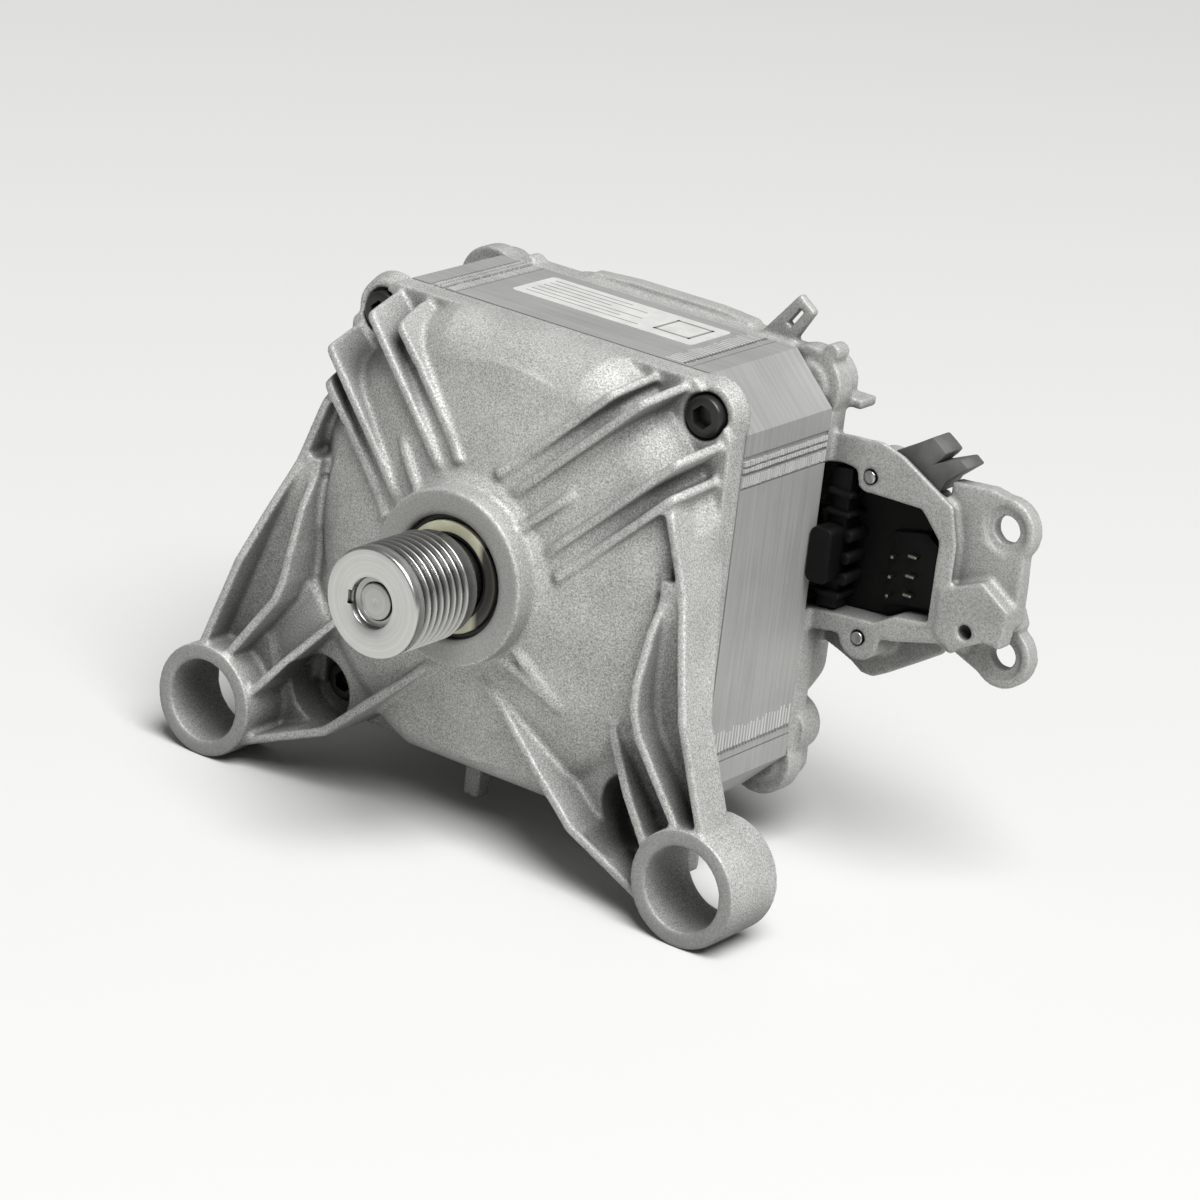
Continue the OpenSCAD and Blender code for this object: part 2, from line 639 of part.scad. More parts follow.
// Point on the wavy washer: step, number of steps, radius, middle depth, wave height and offset
function wave_point(i, steps, r, mid, swing, dy) = let (a = i * 360 / steps)
    [r * cos(a), mid + swing * sin(3 * a) + dy, r * sin(a)];

// Wavy washer that loads the rear bearing
module wave_spring() color("lightsteelblue") from_hub() {
    steps = 72;
    r_in = rear_bearing_od / 2 - 2.6;
    r_out = rear_bearing_od / 2 - 0.4;
    half_t = 0.2;
    gap = rear_seat_end - rear_bearing_y - rear_bearing_w;
    mid = rear_bearing_y + rear_bearing_w + gap / 2;
    swing = gap / 2 - half_t - 0.05;
    points = [for (i = [0 : steps - 1]) each [wave_point(i, steps, r_in, mid, swing, -half_t),
        wave_point(i, steps, r_out, mid, swing, -half_t),
        wave_point(i, steps, r_out, mid, swing, half_t),
        wave_point(i, steps, r_in, mid, swing, half_t)]];
    faces = [for (i = [0 : steps - 1], k = [0 : 3]) let (j = (i + 1) % steps, m = (k + 1) % 4)
        each [[4 * i + k, 4 * j + k, 4 * j + m], [4 * i + k, 4 * j + m, 4 * i + m]]];
    polyhedron(points, faces);
}

// Pale ring in the hub opening, in front of the bearing
module retainer_ring() color("beige") from_hub() tube(10.92, 13.7, 0.9, hub_lip - 1.02);

// Dark rubber seal that carries the pale ring and rides close to the sleeve
module dust_seal() color("black") from_hub() {
    lip_r = journal_d / 2 + 2.1 + free_gap;
    tube(lip_r, hub_opening_d / 2 - seat_gap, hub_lip - 1, hub_lip - 0.02);
    tube(13.72, hub_opening_d / 2 - seat_gap, hub_lip - 2, hub_lip - 0.5);
    tube(lip_r, 10.9, 1.6, hub_lip - 0.5);
}

// Terminal housing in the connector box
module terminal_housing() color("black") from_hub() beside() {
    floor_back = socket_front + socket_depth - 0.05;
    intersection() {
        union() {
            slab(floor_back - 3, floor_back) polygon(inset(socket, free_gap));
            slab(socket_front + 1, floor_back - 2)
                polygon([[56, 29.4], [62.6, 30.6], [62.6, -5.4], [56, -5.9]]);
            for (z = [24, 19, 14, 3.5, -1.5]) slab(socket_front - 1, floor_back - 2)
                polygon([[57, z - 1.2], [64, z - 1.2], [64.6, z], [64, z + 1.2], [57, z + 1.2]]);
            slab(floor_back - 5, floor_back - 2)
                polygon([[72, -1.2], [72, 18], [83, 20], [86, 17], [86, 1]]);
        }
        translate([57, 0, -50]) cube([60, 200, 100]);
    }
    intersection() {
        rod(58.6, 8.6, 4.4, stack_back - 8.5, socket_front + 3);
        translate([drawn_half + free_gap, 0, -50]) cube([60, 200, 100]);
    }
}

// Flat terminals for the three phases and earth
module power_terminals() color("gainsboro") from_hub() beside() for (z = [13.6, 8.6, 3.6])
    translate([80.2, socket_front + 1, z - 0.4]) cube([4.2, socket_depth - 6.1, 0.8]);

// Thin pins for the speed sensor and the thermal cut-out
module signal_terminals() color("gainsboro") from_hub() beside() for (z = [12, 7, 2])
    translate([75.6, socket_front + 1, z - 0.5]) cube([1, socket_depth - 6.1, 1]);

// Screws through the bosses of the connector box
module connector_screws() color("gainsboro") from_hub() beside() for (p = [screw_top, screw_low]) {
    seat = socket_front + box_depth;
    rod(p[0], p[1], 1.6, socket_front - 0.4, seat + 0.5);
    rod(p[0], p[1], 3.2, seat, seat + 2.4);
}

// Plastic cable clip behind the box's upper right corner
module cable_clip() color("dimgray") from_hub() beside() {
    y = socket_front + box_rim + 0.3;
    slab(y, y + 8) {
        difference() {
            translate(clip) circle(5.2);
            translate(clip) circle(3.4);
            translate(clip + [1, 1]) square([12, 12]);
        }
        polygon([clip + [-3.4, -5.48], clip + [2.8, -5.48], clip + [2, -3.6], clip + [-2.4, -3.6]]);
    }
    slab(y, y + 6) polygon(strip([clip + [-1.6, 4.2], clip + [0.8, 5.6], clip + [3.2, 6.6]], 2.2));
    slab(y, y + 6) polygon(strip([clip + [4.2, -1], clip + [6.8, 1.4], clip + [9.8, 3]], 2.2));
}

// Pick-up coil round the sensing magnet
module tacho_coil() color("peru") from_hub() tube(12.6, 17.4, tacho_y + 1, tacho_y + 6);

// Cover over the pick-up coil
module tacho_cover() color("black") from_hub() difference() {
    union() {
        rod(0, 0, 20, tacho_y, tacho_y + 9.5);
        slab(tacho_y, tacho_y + 3) {
            square([54, 8], center = true);
            for (s = [-1, 1]) translate([s * 27, 0]) circle(4);
        }
    }
    rod(0, 0, 17.5, tacho_y - 1, tacho_y + 7.5);
    both_sides() rod(27, 0, 1.8, tacho_y - 1, tacho_y + 4);
}

// Screws of the cover
module tacho_screws() color("gainsboro") from_hub() both_sides() {
    rod(27, 0, 1.5, tacho_y - 4.5, tacho_y + 3.2);
    rod(27, 0, 2.8, tacho_y + 3, tacho_y + 5);
}

// Stepped shaft
module rotor_shaft() color("lightgray") from_hub() turned() {
    tip = nose_recess - pulley_len - pulley_gap;
    polygon([[0, tip], [nose_tip_r - 1, tip], [nose_tip_r, tip + 1], [nose_tip_r, tip + nose_step],
        [nose_d / 2, tip + nose_step], [nose_d / 2, -pulley_gap],
        [journal_d / 2, -pulley_gap], [journal_d / 2, front_bearing_y + front_bearing_w],
        [core_seat_d / 2, front_bearing_y + front_bearing_w],
        [core_seat_d / 2, rear_bearing_y], [rear_journal_d / 2, rear_bearing_y],
        [rear_journal_d / 2, tacho_y - 0.5], [stub_d / 2, tacho_y - 0.5],
        [stub_d / 2, tacho_y + 6.6], [0, tacho_y + 6.6]]);
}

// Drive pulley with belt grooves
module drive_pulley() color("gainsboro") from_hub() translate([0, -pulley_gap - pulley_len, 0])
    difference() {
        turned() difference() {
            translate([nose_tip_r + seat_gap, 0])
                square([pulley_d / 2 - nose_tip_r - seat_gap, pulley_len]);
            translate([0, nose_recess + nose_step - 0.1]) square([nose_d / 2 + seat_gap, pulley_len]);
            polygon([[0, -1], [nose_d / 2 + 0.2, -1], [nose_d / 2 + 0.2, 0], [nose_tip_r + 0.7, 0.5],
                [nose_tip_r + 0.2, 1.2], [0, 1.2]]);
            for (i = [0 : groove_count - 1])
                translate([pulley_d / 2, front_land + (i + 0.5) * groove_pitch]) polygon([
                    [0.1, -groove_pitch / 2 + 0.2], [-groove_depth, -0.25], [-groove_depth, 0.25],
                    [0.1, groove_pitch / 2 - 0.2]]);
            translate([pulley_d / 2 - 0.7, front_land + groove_count * groove_pitch + 0.4])
                square([2, pulley_len]);
        }
        for (z = [-1.5, 1.5]) translate([-nose_d / 2 - 0.9, -1, z - 0.6]) cube([2.2, 2.6, 1.2]);
    }

// Sleeve between pulley and bearing
module spacer_sleeve() color("gray") from_hub()
    tube(journal_d / 2 + seat_gap, journal_d / 2 + 2.1, -pulley_gap, front_bearing_y);

// Laminated rotor core with holes for the cage bars
module rotor_core() color("darkgray") from_hub() slab(stack_front, stack_back) difference() {
    circle(rotor_r);
    circle(core_seat_d / 2 + seat_gap);
    for (i = [0 : bar_count - 1]) rotate(i * 360 / bar_count)
        translate([rotor_r - bar_d / 2 - 0.8, 0]) circle(bar_d / 2 + seat_gap, $fn = 24);
}

// Cast cage: bars, end rings and fan blades
module rotor_cage() color("gainsboro") from_hub() {
    bar_r = rotor_r - bar_d / 2 - 0.8;
    slab(stack_front - 1, stack_back + 1) for (i = [0 : bar_count - 1])
        rotate(i * 360 / bar_count) translate([bar_r, 0]) circle(bar_d / 2, $fn = 24);
    for (y = [stack_front - end_ring_t, stack_back]) tube(21.5, rotor_r - 0.3, y, y + end_ring_t);
    blade = [22, rotor_r - 1.5];
    for (y = [stack_front - end_ring_t - 5, stack_back + end_ring_t - 1]) around(blade_count)
        translate([blade[0], y, -0.9]) cube([blade[1] - blade[0], 6, 1.8]);
}

// Ring magnet on the shaft's rear end
module tacho_magnet() color("dimgray") from_hub()
    tube(stub_d / 2 + seat_gap, 11.4, tacho_y, tacho_y + 6);

front_shield();
rear_shield();
stator_core();
slot_liners();
stator_windings();
phase_leads();
thermal_cutout();
corner_bolts();
front_outer_race();
front_bearing_seals();
rear_outer_race();
rear_bearing_seals();
bearing_circlip();
wave_spring();
retainer_ring();
dust_seal();
terminal_housing();
power_terminals();
signal_terminals();
connector_screws();
cable_clip();
tacho_coil();
tacho_cover();
tacho_screws();
rotor_shaft();
drive_pulley();
spacer_sleeve();
front_inner_race();
rear_inner_race();
rotor_core();
rotor_cage();
tacho_magnet();
front_balls();
front_cage();
rear_balls();
rear_cage();
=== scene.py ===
import json
import math

import bmesh
import bpy
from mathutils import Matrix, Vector


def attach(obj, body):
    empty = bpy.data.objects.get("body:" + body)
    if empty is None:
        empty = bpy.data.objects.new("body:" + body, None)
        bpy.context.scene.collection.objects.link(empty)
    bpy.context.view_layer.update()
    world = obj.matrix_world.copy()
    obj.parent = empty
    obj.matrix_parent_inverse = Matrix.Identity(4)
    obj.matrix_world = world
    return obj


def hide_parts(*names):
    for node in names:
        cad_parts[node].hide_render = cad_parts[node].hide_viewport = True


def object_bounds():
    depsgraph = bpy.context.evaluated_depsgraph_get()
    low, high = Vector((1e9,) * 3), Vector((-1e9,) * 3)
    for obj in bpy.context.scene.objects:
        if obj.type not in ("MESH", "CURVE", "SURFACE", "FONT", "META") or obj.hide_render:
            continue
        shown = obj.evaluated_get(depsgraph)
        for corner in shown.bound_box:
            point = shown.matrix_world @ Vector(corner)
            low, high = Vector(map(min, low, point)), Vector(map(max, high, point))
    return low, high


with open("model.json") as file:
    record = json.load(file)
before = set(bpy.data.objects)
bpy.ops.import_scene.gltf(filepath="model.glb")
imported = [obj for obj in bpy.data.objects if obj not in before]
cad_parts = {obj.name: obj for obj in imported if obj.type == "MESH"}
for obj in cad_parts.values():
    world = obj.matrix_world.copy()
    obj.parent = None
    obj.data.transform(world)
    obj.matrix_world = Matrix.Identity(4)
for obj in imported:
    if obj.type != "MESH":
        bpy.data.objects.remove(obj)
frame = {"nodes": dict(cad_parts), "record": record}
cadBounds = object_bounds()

# Belt drive motor of a washing machine. Everything is built in metres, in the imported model's frame:
# the origin on the shaft at the middle of the pulley, +Y into the motor, +Z up. Sizes are written in
# millimetres and times mm.
mm = 0.001
hubFace = 15.65  # drawing depths are counted in millimetres from the hub's front face
seamGap = 2e-6  # points nearer to each other than this are one point
nodes = frame["nodes"]
scene = bpy.context.scene
scene.view_settings.view_transform = "Standard"  # a plain studio picture, no film curve
stator = "stator_assembly"


def linear(code):
    channels = [int(code[i:i + 2], 16) / 255 for i in (1, 3, 5)]
    light = [c / 12.92 if c <= 0.04045 else ((c + 0.055) / 1.055) ** 2.4 for c in channels]
    return (*light, 1.0)


def addNode(tree, kind, sockets=None, stops=None, **settings):
    # Sockets are set by name or number, from a value or from another node's output
    node = tree.nodes.new(kind)
    for key, value in settings.items():
        setattr(node, key, value)
    for key, value in (sockets or {}).items():
        if isinstance(value, bpy.types.NodeSocket):
            tree.links.new(value, node.inputs[key])
        else:
            node.inputs[key].default_value = value
    if stops:
        band = node.color_ramp.elements
        while len(band) < len(stops):
            band.new(0.5)
        for element, (position, tone) in zip(band, stops):
            element.position = position
            element.color = linear(tone) if isinstance(tone, str) else (tone, tone, tone, 1)
    return node


def startMaterial(name, **shaderValues):
    material = bpy.data.materials.new(name)
    material.use_nodes = True
    tree = material.node_tree
    tree.nodes.clear()
    shader = addNode(tree, "ShaderNodeBsdfPrincipled", shaderValues)
    addNode(tree, "ShaderNodeOutputMaterial", {"Surface": shader.outputs[0]})
    place = addNode(tree, "ShaderNodeTexCoord").outputs["Object"]
    return material, tree, shader, place


def addThing(name, data):
    # A new object of the scene, at the origin
    thing = bpy.data.objects.new(name, data)
    scene.collection.objects.link(thing)
    return thing


# Camera: the photo was taken with a long lens, from the front right and above
viewPoint = {"place": (0.589684, -0.786185, 0.358084), "turn": (70.028, -6.3264, 36.516), "lens": 135.16}
cameraData = bpy.data.cameras.new("photoView")
cameraData.lens = viewPoint["lens"]
cameraData.sensor_width = 36
camera = addThing("photoView", cameraData)
camera.location = viewPoint["place"]
camera.rotation_euler = [math.radians(a) for a in viewPoint["turn"]]
scene.camera = camera
print("camera placed")


def dieCastAluminium(name, colours, grain=0.42, depth=0.03, shadeReach=22, shadedEnds=(), shadeShare=0.7):
    # Pressure die cast and shot blasted aluminium: dull silver grey, every grain glints a little, and
    # painted shade darkens the corners and pockets. The eyes' ends and the hub's rim get painted shade: a
    # plain darker grey
    material, tree, shader, place = startMaterial(name, Metallic=0.4)
    grains = addNode(tree, "ShaderNodeTexNoise", {"Vector": place, "Scale": 1 / (grain * mm), "Detail": 3.0,
                                                  "Roughness": 0.7}).outputs["Fac"]
    flow = addNode(tree, "ShaderNodeTexNoise", {"Vector": place, "Scale": 1 / (14 * mm),
                                                "Detail": 3.0}).outputs["Fac"]
    tone = addNode(tree, "ShaderNodeValToRGB", {"Fac": grains}, list(zip((0.30, 0.52, 0.72), colours)))
    stain = addNode(tree, "ShaderNodeValToRGB", {"Fac": flow}, [(0.35, 0.84), (0.65, 1.0)])
    mixed = addNode(tree, "ShaderNodeMix", {"Factor": 1.0, 6: tone.outputs[0], 7: stain.outputs[0]},
                    data_type="RGBA", blend_type="MULTIPLY")
    # Painted shade: the colour darkens where ambient occlusion finds nearby surfaces, in corners, pockets
    # and between ribs
    reach = addNode(tree, "ShaderNodeAmbientOcclusion", {"Distance": shadeReach * mm},
                    samples=6).outputs["AO"]
    corner = addNode(tree, "ShaderNodeValToRGB", {"Fac": reach}, [(0.18, 0.27), (0.62, 0.70), (0.85, 1.0)])
    mixed = addNode(tree, "ShaderNodeMix", {"Factor": 1.0, 6: mixed.outputs[2], 7: corner.outputs[0]},
                    data_type="RGBA", blend_type="MULTIPLY")
    # Painted shade: the eyes' front faces and the hub's rim take a share of a darker plain grey
    if shadedEnds:
        spot = addNode(tree, "ShaderNodeSeparateXYZ", {0: place})
        across = addNode(tree, "ShaderNodeMath", {0: spot.outputs[0]}, operation="ABSOLUTE")
        flat = addNode(tree, "ShaderNodeCombineXYZ", {0: across.outputs[0], 2: spot.outputs[2]})
    for end in shadedEnds:
        centre = (end["x"] * mm, 0, end["z"] * mm)
        away = addNode(tree, "ShaderNodeVectorMath", {0: flat.outputs[0], 1: centre},
                       operation="DISTANCE").outputs["Value"]
        within = addNode(tree, "ShaderNodeMath", {0: away, 1: end["radius"] * mm}, operation="LESS_THAN")
        ahead = addNode(tree, "ShaderNodeMath", {0: spot.outputs[1], 1: (hubFace + end["depth"]) * mm},
                        operation="LESS_THAN")
        both = addNode(tree, "ShaderNodeMath", {0: within.outputs[0], 1: ahead.outputs[0]},
                       operation="MULTIPLY")
        part = addNode(tree, "ShaderNodeMath", {0: both.outputs[0], 1: shadeShare}, operation="MULTIPLY")
        mixed = addNode(tree, "ShaderNodeMix", {"Factor": part.outputs[0], 6: mixed.outputs[2],
                                                7: linear(end["tone"])}, data_type="RGBA")
    dull = addNode(tree, "ShaderNodeValToRGB", {"Fac": grains}, [(0.3, 0.76), (0.7, 0.58)])
    wave = addNode(tree, "ShaderNodeBump", {"Height": flow, "Distance": 0.10 * mm})
    pits = addNode(tree, "ShaderNodeBump", {"Height": grains, "Distance": depth * mm,
                                            "Normal": wave.outputs[0]})
    tree.links.new(mixed.outputs[2], shader.inputs["Base Color"])
    tree.links.new(dull.outputs[0], shader.inputs["Roughness"])
    tree.links.new(pits.outputs[0], shader.inputs["Normal"])
    return material


def sheetSteel(name, colours):
    # Stacked electrical steel sheet, bare edges with a touch of oil: faint lines across the shaft, drawn
    # about one millimetre apart because the real half millimetre is too fine to show
    material, tree, shader, place = startMaterial(name, Metallic=0.35, Roughness=0.6)
    spread = addNode(tree, "ShaderNodeMapping", {"Vector": place, "Scale": (0.03, 1.3, 0.03)})
    sheets = addNode(tree, "ShaderNodeTexNoise", {"Vector": spread.outputs[0], "Scale": 1 / (1.0 * mm),
                                                  "Detail": 3.0, "Roughness": 0.6}).outputs["Fac"]
    speck = addNode(tree, "ShaderNodeTexNoise", {"Vector": place, "Scale": 1 / (0.5 * mm),
                                                 "Detail": 2.0}).outputs["Fac"]
    cloud = addNode(tree, "ShaderNodeTexNoise", {"Vector": place, "Scale": 1 / (22 * mm),
                                                 "Detail": 3.0}).outputs["Fac"]
    tone = addNode(tree, "ShaderNodeValToRGB", {"Fac": sheets}, list(zip((0.32, 0.5, 0.68), colours)))
    stain = addNode(tree, "ShaderNodeValToRGB", {"Fac": cloud}, [(0.35, 0.90), (0.65, 1.0)])
    mixed = addNode(tree, "ShaderNodeMix", {"Factor": 1.0, 6: tone.outputs[0], 7: stain.outputs[0]},
                    data_type="RGBA", blend_type="MULTIPLY")
    edges = addNode(tree, "ShaderNodeBump", {"Height": sheets, "Distance": 0.003 * mm})
    pits = addNode(tree, "ShaderNodeBump", {"Height": speck, "Distance": 0.012 * mm,
                                            "Normal": edges.outputs[0]})
    tree.links.new(mixed.outputs[2], shader.inputs["Base Color"])
    tree.links.new(pits.outputs[0], shader.inputs["Normal"])
    return material


def turnedSteel(name, colours, roughness):
    # Steel turned on a lathe: bright, with fine tool marks that run round the shaft, and painted shade that
    # turns the grooves and recesses nearly black
    material, tree, shader, place = startMaterial(name, Metallic=1.0)
    parts = addNode(tree, "ShaderNodeSeparateXYZ", {0: place})
    flat = addNode(tree, "ShaderNodeCombineXYZ", {0: parts.outputs[0], 1: parts.outputs[2]})
    radius = addNode(tree, "ShaderNodeVectorMath", {0: flat.outputs[0]},
                     operation="LENGTH").outputs["Value"]
    rings = addNode(tree, "ShaderNodeCombineXYZ", {0: radius, 1: parts.outputs[1]})
    marks = addNode(tree, "ShaderNodeTexNoise", {"Vector": rings.outputs[0], "Scale": 1 / (0.35 * mm),
                                                 "Detail": 3.0, "Roughness": 0.65}).outputs["Fac"]
    cloud = addNode(tree, "ShaderNodeTexNoise", {"Vector": place, "Scale": 1 / (4 * mm),
                                                 "Detail": 2.0}).outputs["Fac"]
    tone = addNode(tree, "ShaderNodeValToRGB", {"Fac": marks}, list(zip((0.3, 0.55, 0.75), colours)))
    dull = addNode(tree, "ShaderNodeValToRGB", {"Fac": cloud},
                   [(0.3, roughness - 0.04), (0.7, roughness + 0.06)])
    grooves = addNode(tree, "ShaderNodeBump", {"Height": marks, "Distance": 0.004 * mm})
    # Painted shade: the colour darkens nearly to black where ambient occlusion finds nearby surfaces
    reach = addNode(tree, "ShaderNodeAmbientOcclusion", {"Distance": 3.5 * mm}, samples=6).outputs["AO"]
    paintedGrooveShade = addNode(tree, "ShaderNodeValToRGB", {"Fac": reach}, [(0.30, 0.06), (0.85, 1.0)])
    tone = addNode(tree, "ShaderNodeMix", {"Factor": 1.0, 6: tone.outputs[0], 7: paintedGrooveShade.outputs[0]},
                   data_type="RGBA", blend_type="MULTIPLY")
    tree.links.new(tone.outputs[2], shader.inputs["Base Color"])
    tree.links.new(dull.outputs[0], shader.inputs["Roughness"])
    tree.links.new(grooves.outputs[0], shader.inputs["Normal"])
    return material


def mouldedSurface(name, colours, roughness, grain=0.25, depth=0.01, gloss=0.5, rightShade=None):
    # Injection moulded plastic and coated metal: a fine even grain under a slightly cloudy sheen. The right
    # shade is painted shade: a dark tone that begins and ends at two distances to the shaft's right, in
    # millimetres
    material, tree, shader, place = startMaterial(name, **{"IOR": 1.5, "Specular IOR Level": gloss})
    grains = addNode(tree, "ShaderNodeTexNoise", {"Vector": place, "Scale": 1 / (grain * mm),
                                                  "Detail": 2.0}).outputs["Fac"]
    cloud = addNode(tree, "ShaderNodeTexNoise", {"Vector": place, "Scale": 1 / (5 * mm),
                                                 "Detail": 2.0}).outputs["Fac"]
    tone = addNode(tree, "ShaderNodeValToRGB", {"Fac": cloud}, list(zip((0.3, 0.7), colours)))
    dull = addNode(tree, "ShaderNodeValToRGB", {"Fac": grains},
                   [(0.3, roughness + 0.07), (0.7, max(roughness - 0.07, 0.05))])
    pits = addNode(tree, "ShaderNodeBump", {"Height": grains, "Distance": depth * mm})
    # Painted shade: the colour goes dark towards the shaft's right, standing in for the shade on that side
    if rightShade:
        right = addNode(tree, "ShaderNodeSeparateXYZ", {0: place}).outputs[0]
        rightShadeRamp = addNode(tree, "ShaderNodeMapRange", {"Value": right, "From Min": rightShade[0] * mm,
                                                     "From Max": rightShade[1] * mm})
        tone = addNode(tree, "ShaderNodeMix", {"Factor": rightShadeRamp.outputs[0], 6: tone.outputs[0],
                                               7: linear("#34332f")}, data_type="RGBA")
    colour = tone.outputs[2 if rightShade else 0]
    tree.links.new(colour, shader.inputs["Base Color"])
    tree.links.new(dull.outputs[0], shader.inputs["Roughness"])
    tree.links.new(pits.outputs[0], shader.inputs["Normal"])
    return material


# Painted shade on the front faces of both eyes, which mirror each other, and on the hub's rim
paintedShadeFaces = ({"x": 73.4, "z": -55.6, "radius": 14.2, "depth": 4.2, "tone": "#828280"},
            {"x": 0, "z": 0, "radius": 20.9, "depth": 0.8, "tone": "#959592"})
finishes = {
    "castFront": dieCastAluminium("dieCastAluminiumFront", ("#7e7e7b", "#b2b2af", "#d8d8d5"),
                                  shadedEnds=paintedShadeFaces),
    "castRear": dieCastAluminium("dieCastAluminiumRear", ("#8a8a87", "#adadaa", "#c8c8c5"), depth=0.018),
    "stack": sheetSteel("electricalSteelSheet", ("#969694", "#9e9e9c", "#a4a4a2")),
    "burr": sheetSteel("shearedSteelEdge", ("#b4b4b2", "#c4c4c2", "#d2d2d0")),
    "pulley": turnedSteel("turnedPulleySteel", ("#c0c0bd", "#cbcbc8", "#d3d3d0"), 0.3),
    "shaft": turnedSteel("turnedShaftSteel", ("#9a9a97", "#b8b8b5", "#cdcdca"), 0.3),
    "race": turnedSteel("groundBearingSteel", ("#8f9092", "#a9aaac", "#babbbd"), 0.18),
    "bolt": mouldedSurface("blackOxideSteel", ("#141413", "#1e1e1d"), 0.4, 0.3, 0.008),
    "blackPlastic": mouldedSurface("blackGlassFilledPolyester", ("#040404", "#090909"), 0.5, gloss=0.2),
    "greyPlastic": mouldedSurface("greyGlassFilledNylon", ("#4a4b49", "#5c5d5b"), 0.6, 0.5, 0.03),
    # The pale ring's right side gets painted shade
    "palePlastic": mouldedSurface("paleAcetalRing", ("#a9a88e", "#c3c2a8"), 0.4, 0.4, 0.03,
                                  rightShade=(8.0, 9.6)),
    "rubber": mouldedSurface("blackNitrileRubber", ("#101010", "#1a1a1a"), 0.55),
    "copper": mouldedSurface("enamelledCopperWire", ("#7a3a14", "#a4571f"), 0.25, 0.8, 0.1),
    "paper": mouldedSurface("slotInsulationPaper", ("#d9cfae", "#e6dec2"), 0.8, 0.6, 0.02),
    "label": mouldedSurface("matWhiteFoilLabel", ("#b4b4b1", "#c1c1be"), 0.5, 0.6, 0.006),
    "ink": mouldedSurface("greyPrintedInk", ("#5d5d5b", "#6b6b69"), 0.6),
    "print": mouldedSurface("paleGreyPrintedInk", ("#73736f", "#7f7f7b"), 0.6),
    "tin": turnedSteel("tinnedBrass", ("#8f8c80", "#a8a599", "#b8b5aa"), 0.3),
    "ferrite": mouldedSurface("plasticBondedFerrite", ("#2a2a2b", "#383839"), 0.5),
    "spring": turnedSteel("bluedSpringSteel", ("#5a5d63", "#75797f", "#8b8f95"), 0.3),
}
slotFinish = {
    "cast_aluminium": "castFront", "machined_aluminium": "castRear", "stator_steel": "stack",
    "bright_steel": "shaft", "bearing_steel": "race", "black_oxide": "bolt", "copper_enamel": "copper",
    "slot_paper": "paper", "black_plastic": "blackPlastic", "grey_plastic": "greyPlastic",
    "pale_plastic": "palePlastic", "black_rubber": "rubber", "brass_pin": "tin", "ferrite": "ferrite",
    "spring_steel": "spring",
}
nodeSlot = {part["node"]: part["material_slot"] for part in frame["record"]["subparts"]}
for nodeName, slotName in nodeSlot.items():
    nodes[nodeName].data.materials.clear()
    nodes[nodeName].data.materials.append(finishes[slotFinish[slotName]])
nodes["rear_shield"].data.materials[0] = finishes["castRear"]  # the rear shield's skin is smoother
print("finishes made")


def keepShape(piece):
    # Keeps what the modifiers make of a piece as its plain mesh
    bpy.context.view_layer.update()
    made = piece.evaluated_get(bpy.context.evaluated_depsgraph_get())
    shape = bpy.data.meshes.new_from_object(made)
    piece.modifiers.clear()
    piece.data = shape


def mergedMesh(nodeName):
    # A copy of a drawn part with its loose triangles joined up
    mesh = nodes[nodeName].data.copy()
    work = bmesh.new()
    work.from_mesh(mesh)
    bmesh.ops.remove_doubles(work, verts=work.verts, dist=1e-6)
    work.to_mesh(mesh)
    work.free()
    return mesh


def settle(piece, finish, body, replaced, sharpAngle=35):
    # Joins seams, turns every face outwards, shades the piece and hands it to the frame
    work = bmesh.new()
    work.from_mesh(piece.data)
    bmesh.ops.remove_doubles(work, verts=work.verts, dist=seamGap)
    bmesh.ops.dissolve_degenerate(work, edges=work.edges, dist=1e-7)
    bmesh.ops.recalc_face_normals(work, faces=work.faces)
    openEdges = sum(1 for e in work.edges if len(e.link_faces) != 2)
    work.to_mesh(piece.data)
    work.free()
    piece.data.materials.clear()
    piece.data.materials.append(finish)
    for face in piece.data.polygons:
        face.material_index = 0
    piece.data.shade_smooth()
    piece.data.set_sharp_from_angle(angle=math.radians(sharpAngle))
    if replaced:
        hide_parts(*replaced)
    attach(piece, body)
    print(piece.name, "has", len(piece.data.polygons), "faces and", openEdges, "open edges")


def straightShapes(name, shapes, lying=False):
    # Shapes with straight sides in one mesh: an outline in X and Z with its two depths, or lying flat, an
    # outline in X and depth with its two heights
    work = bmesh.new()
    for outline, low, high in shapes:
        ends = []
        for level in (low, high):
            spots = [(x, v, level) if lying else (x, level, v) for x, v in outline]
            ends.append([work.verts.new((x * mm, (hubFace + depth) * mm, z * mm)) for x, depth, z in spots])
            work.faces.new(ends[-1])
        for k in range(len(outline)):
            j = (k + 1) % len(outline)
            work.faces.new((ends[0][k], ends[0][j], ends[1][j], ends[1][k]))
    bmesh.ops.recalc_face_normals(work, faces=work.faces)
    mesh = bpy.data.meshes.new(name)
    work.to_mesh(mesh)
    work.free()
    return mesh


def boxOutline(left, right, low, high):
    return [(left, low), (right, low), (right, high), (left, high)]


def cutAway(piece, shapes):
    # Cuts shapes with straight sides out of a piece
    knife = addThing(piece.name + "Knife", straightShapes(piece.name + "Knife", shapes))
    cut = piece.modifiers.new("cut", "BOOLEAN")
    cut.operation = "DIFFERENCE"
    cut.object = knife
    keepShape(piece)
    bpy.data.objects.remove(knife)


# The dish between the hub and its rim: radii, depths, and how far from the drawn skin a point still follows
dishSize = {"inner": 23.5, "outer": 50.0, "overrun": 0.3, "root": 8.1, "rim": 14.5, "arc": 54.15,
            "coneRim": 15.3, "reach": 3.0, "hold": 1.25}


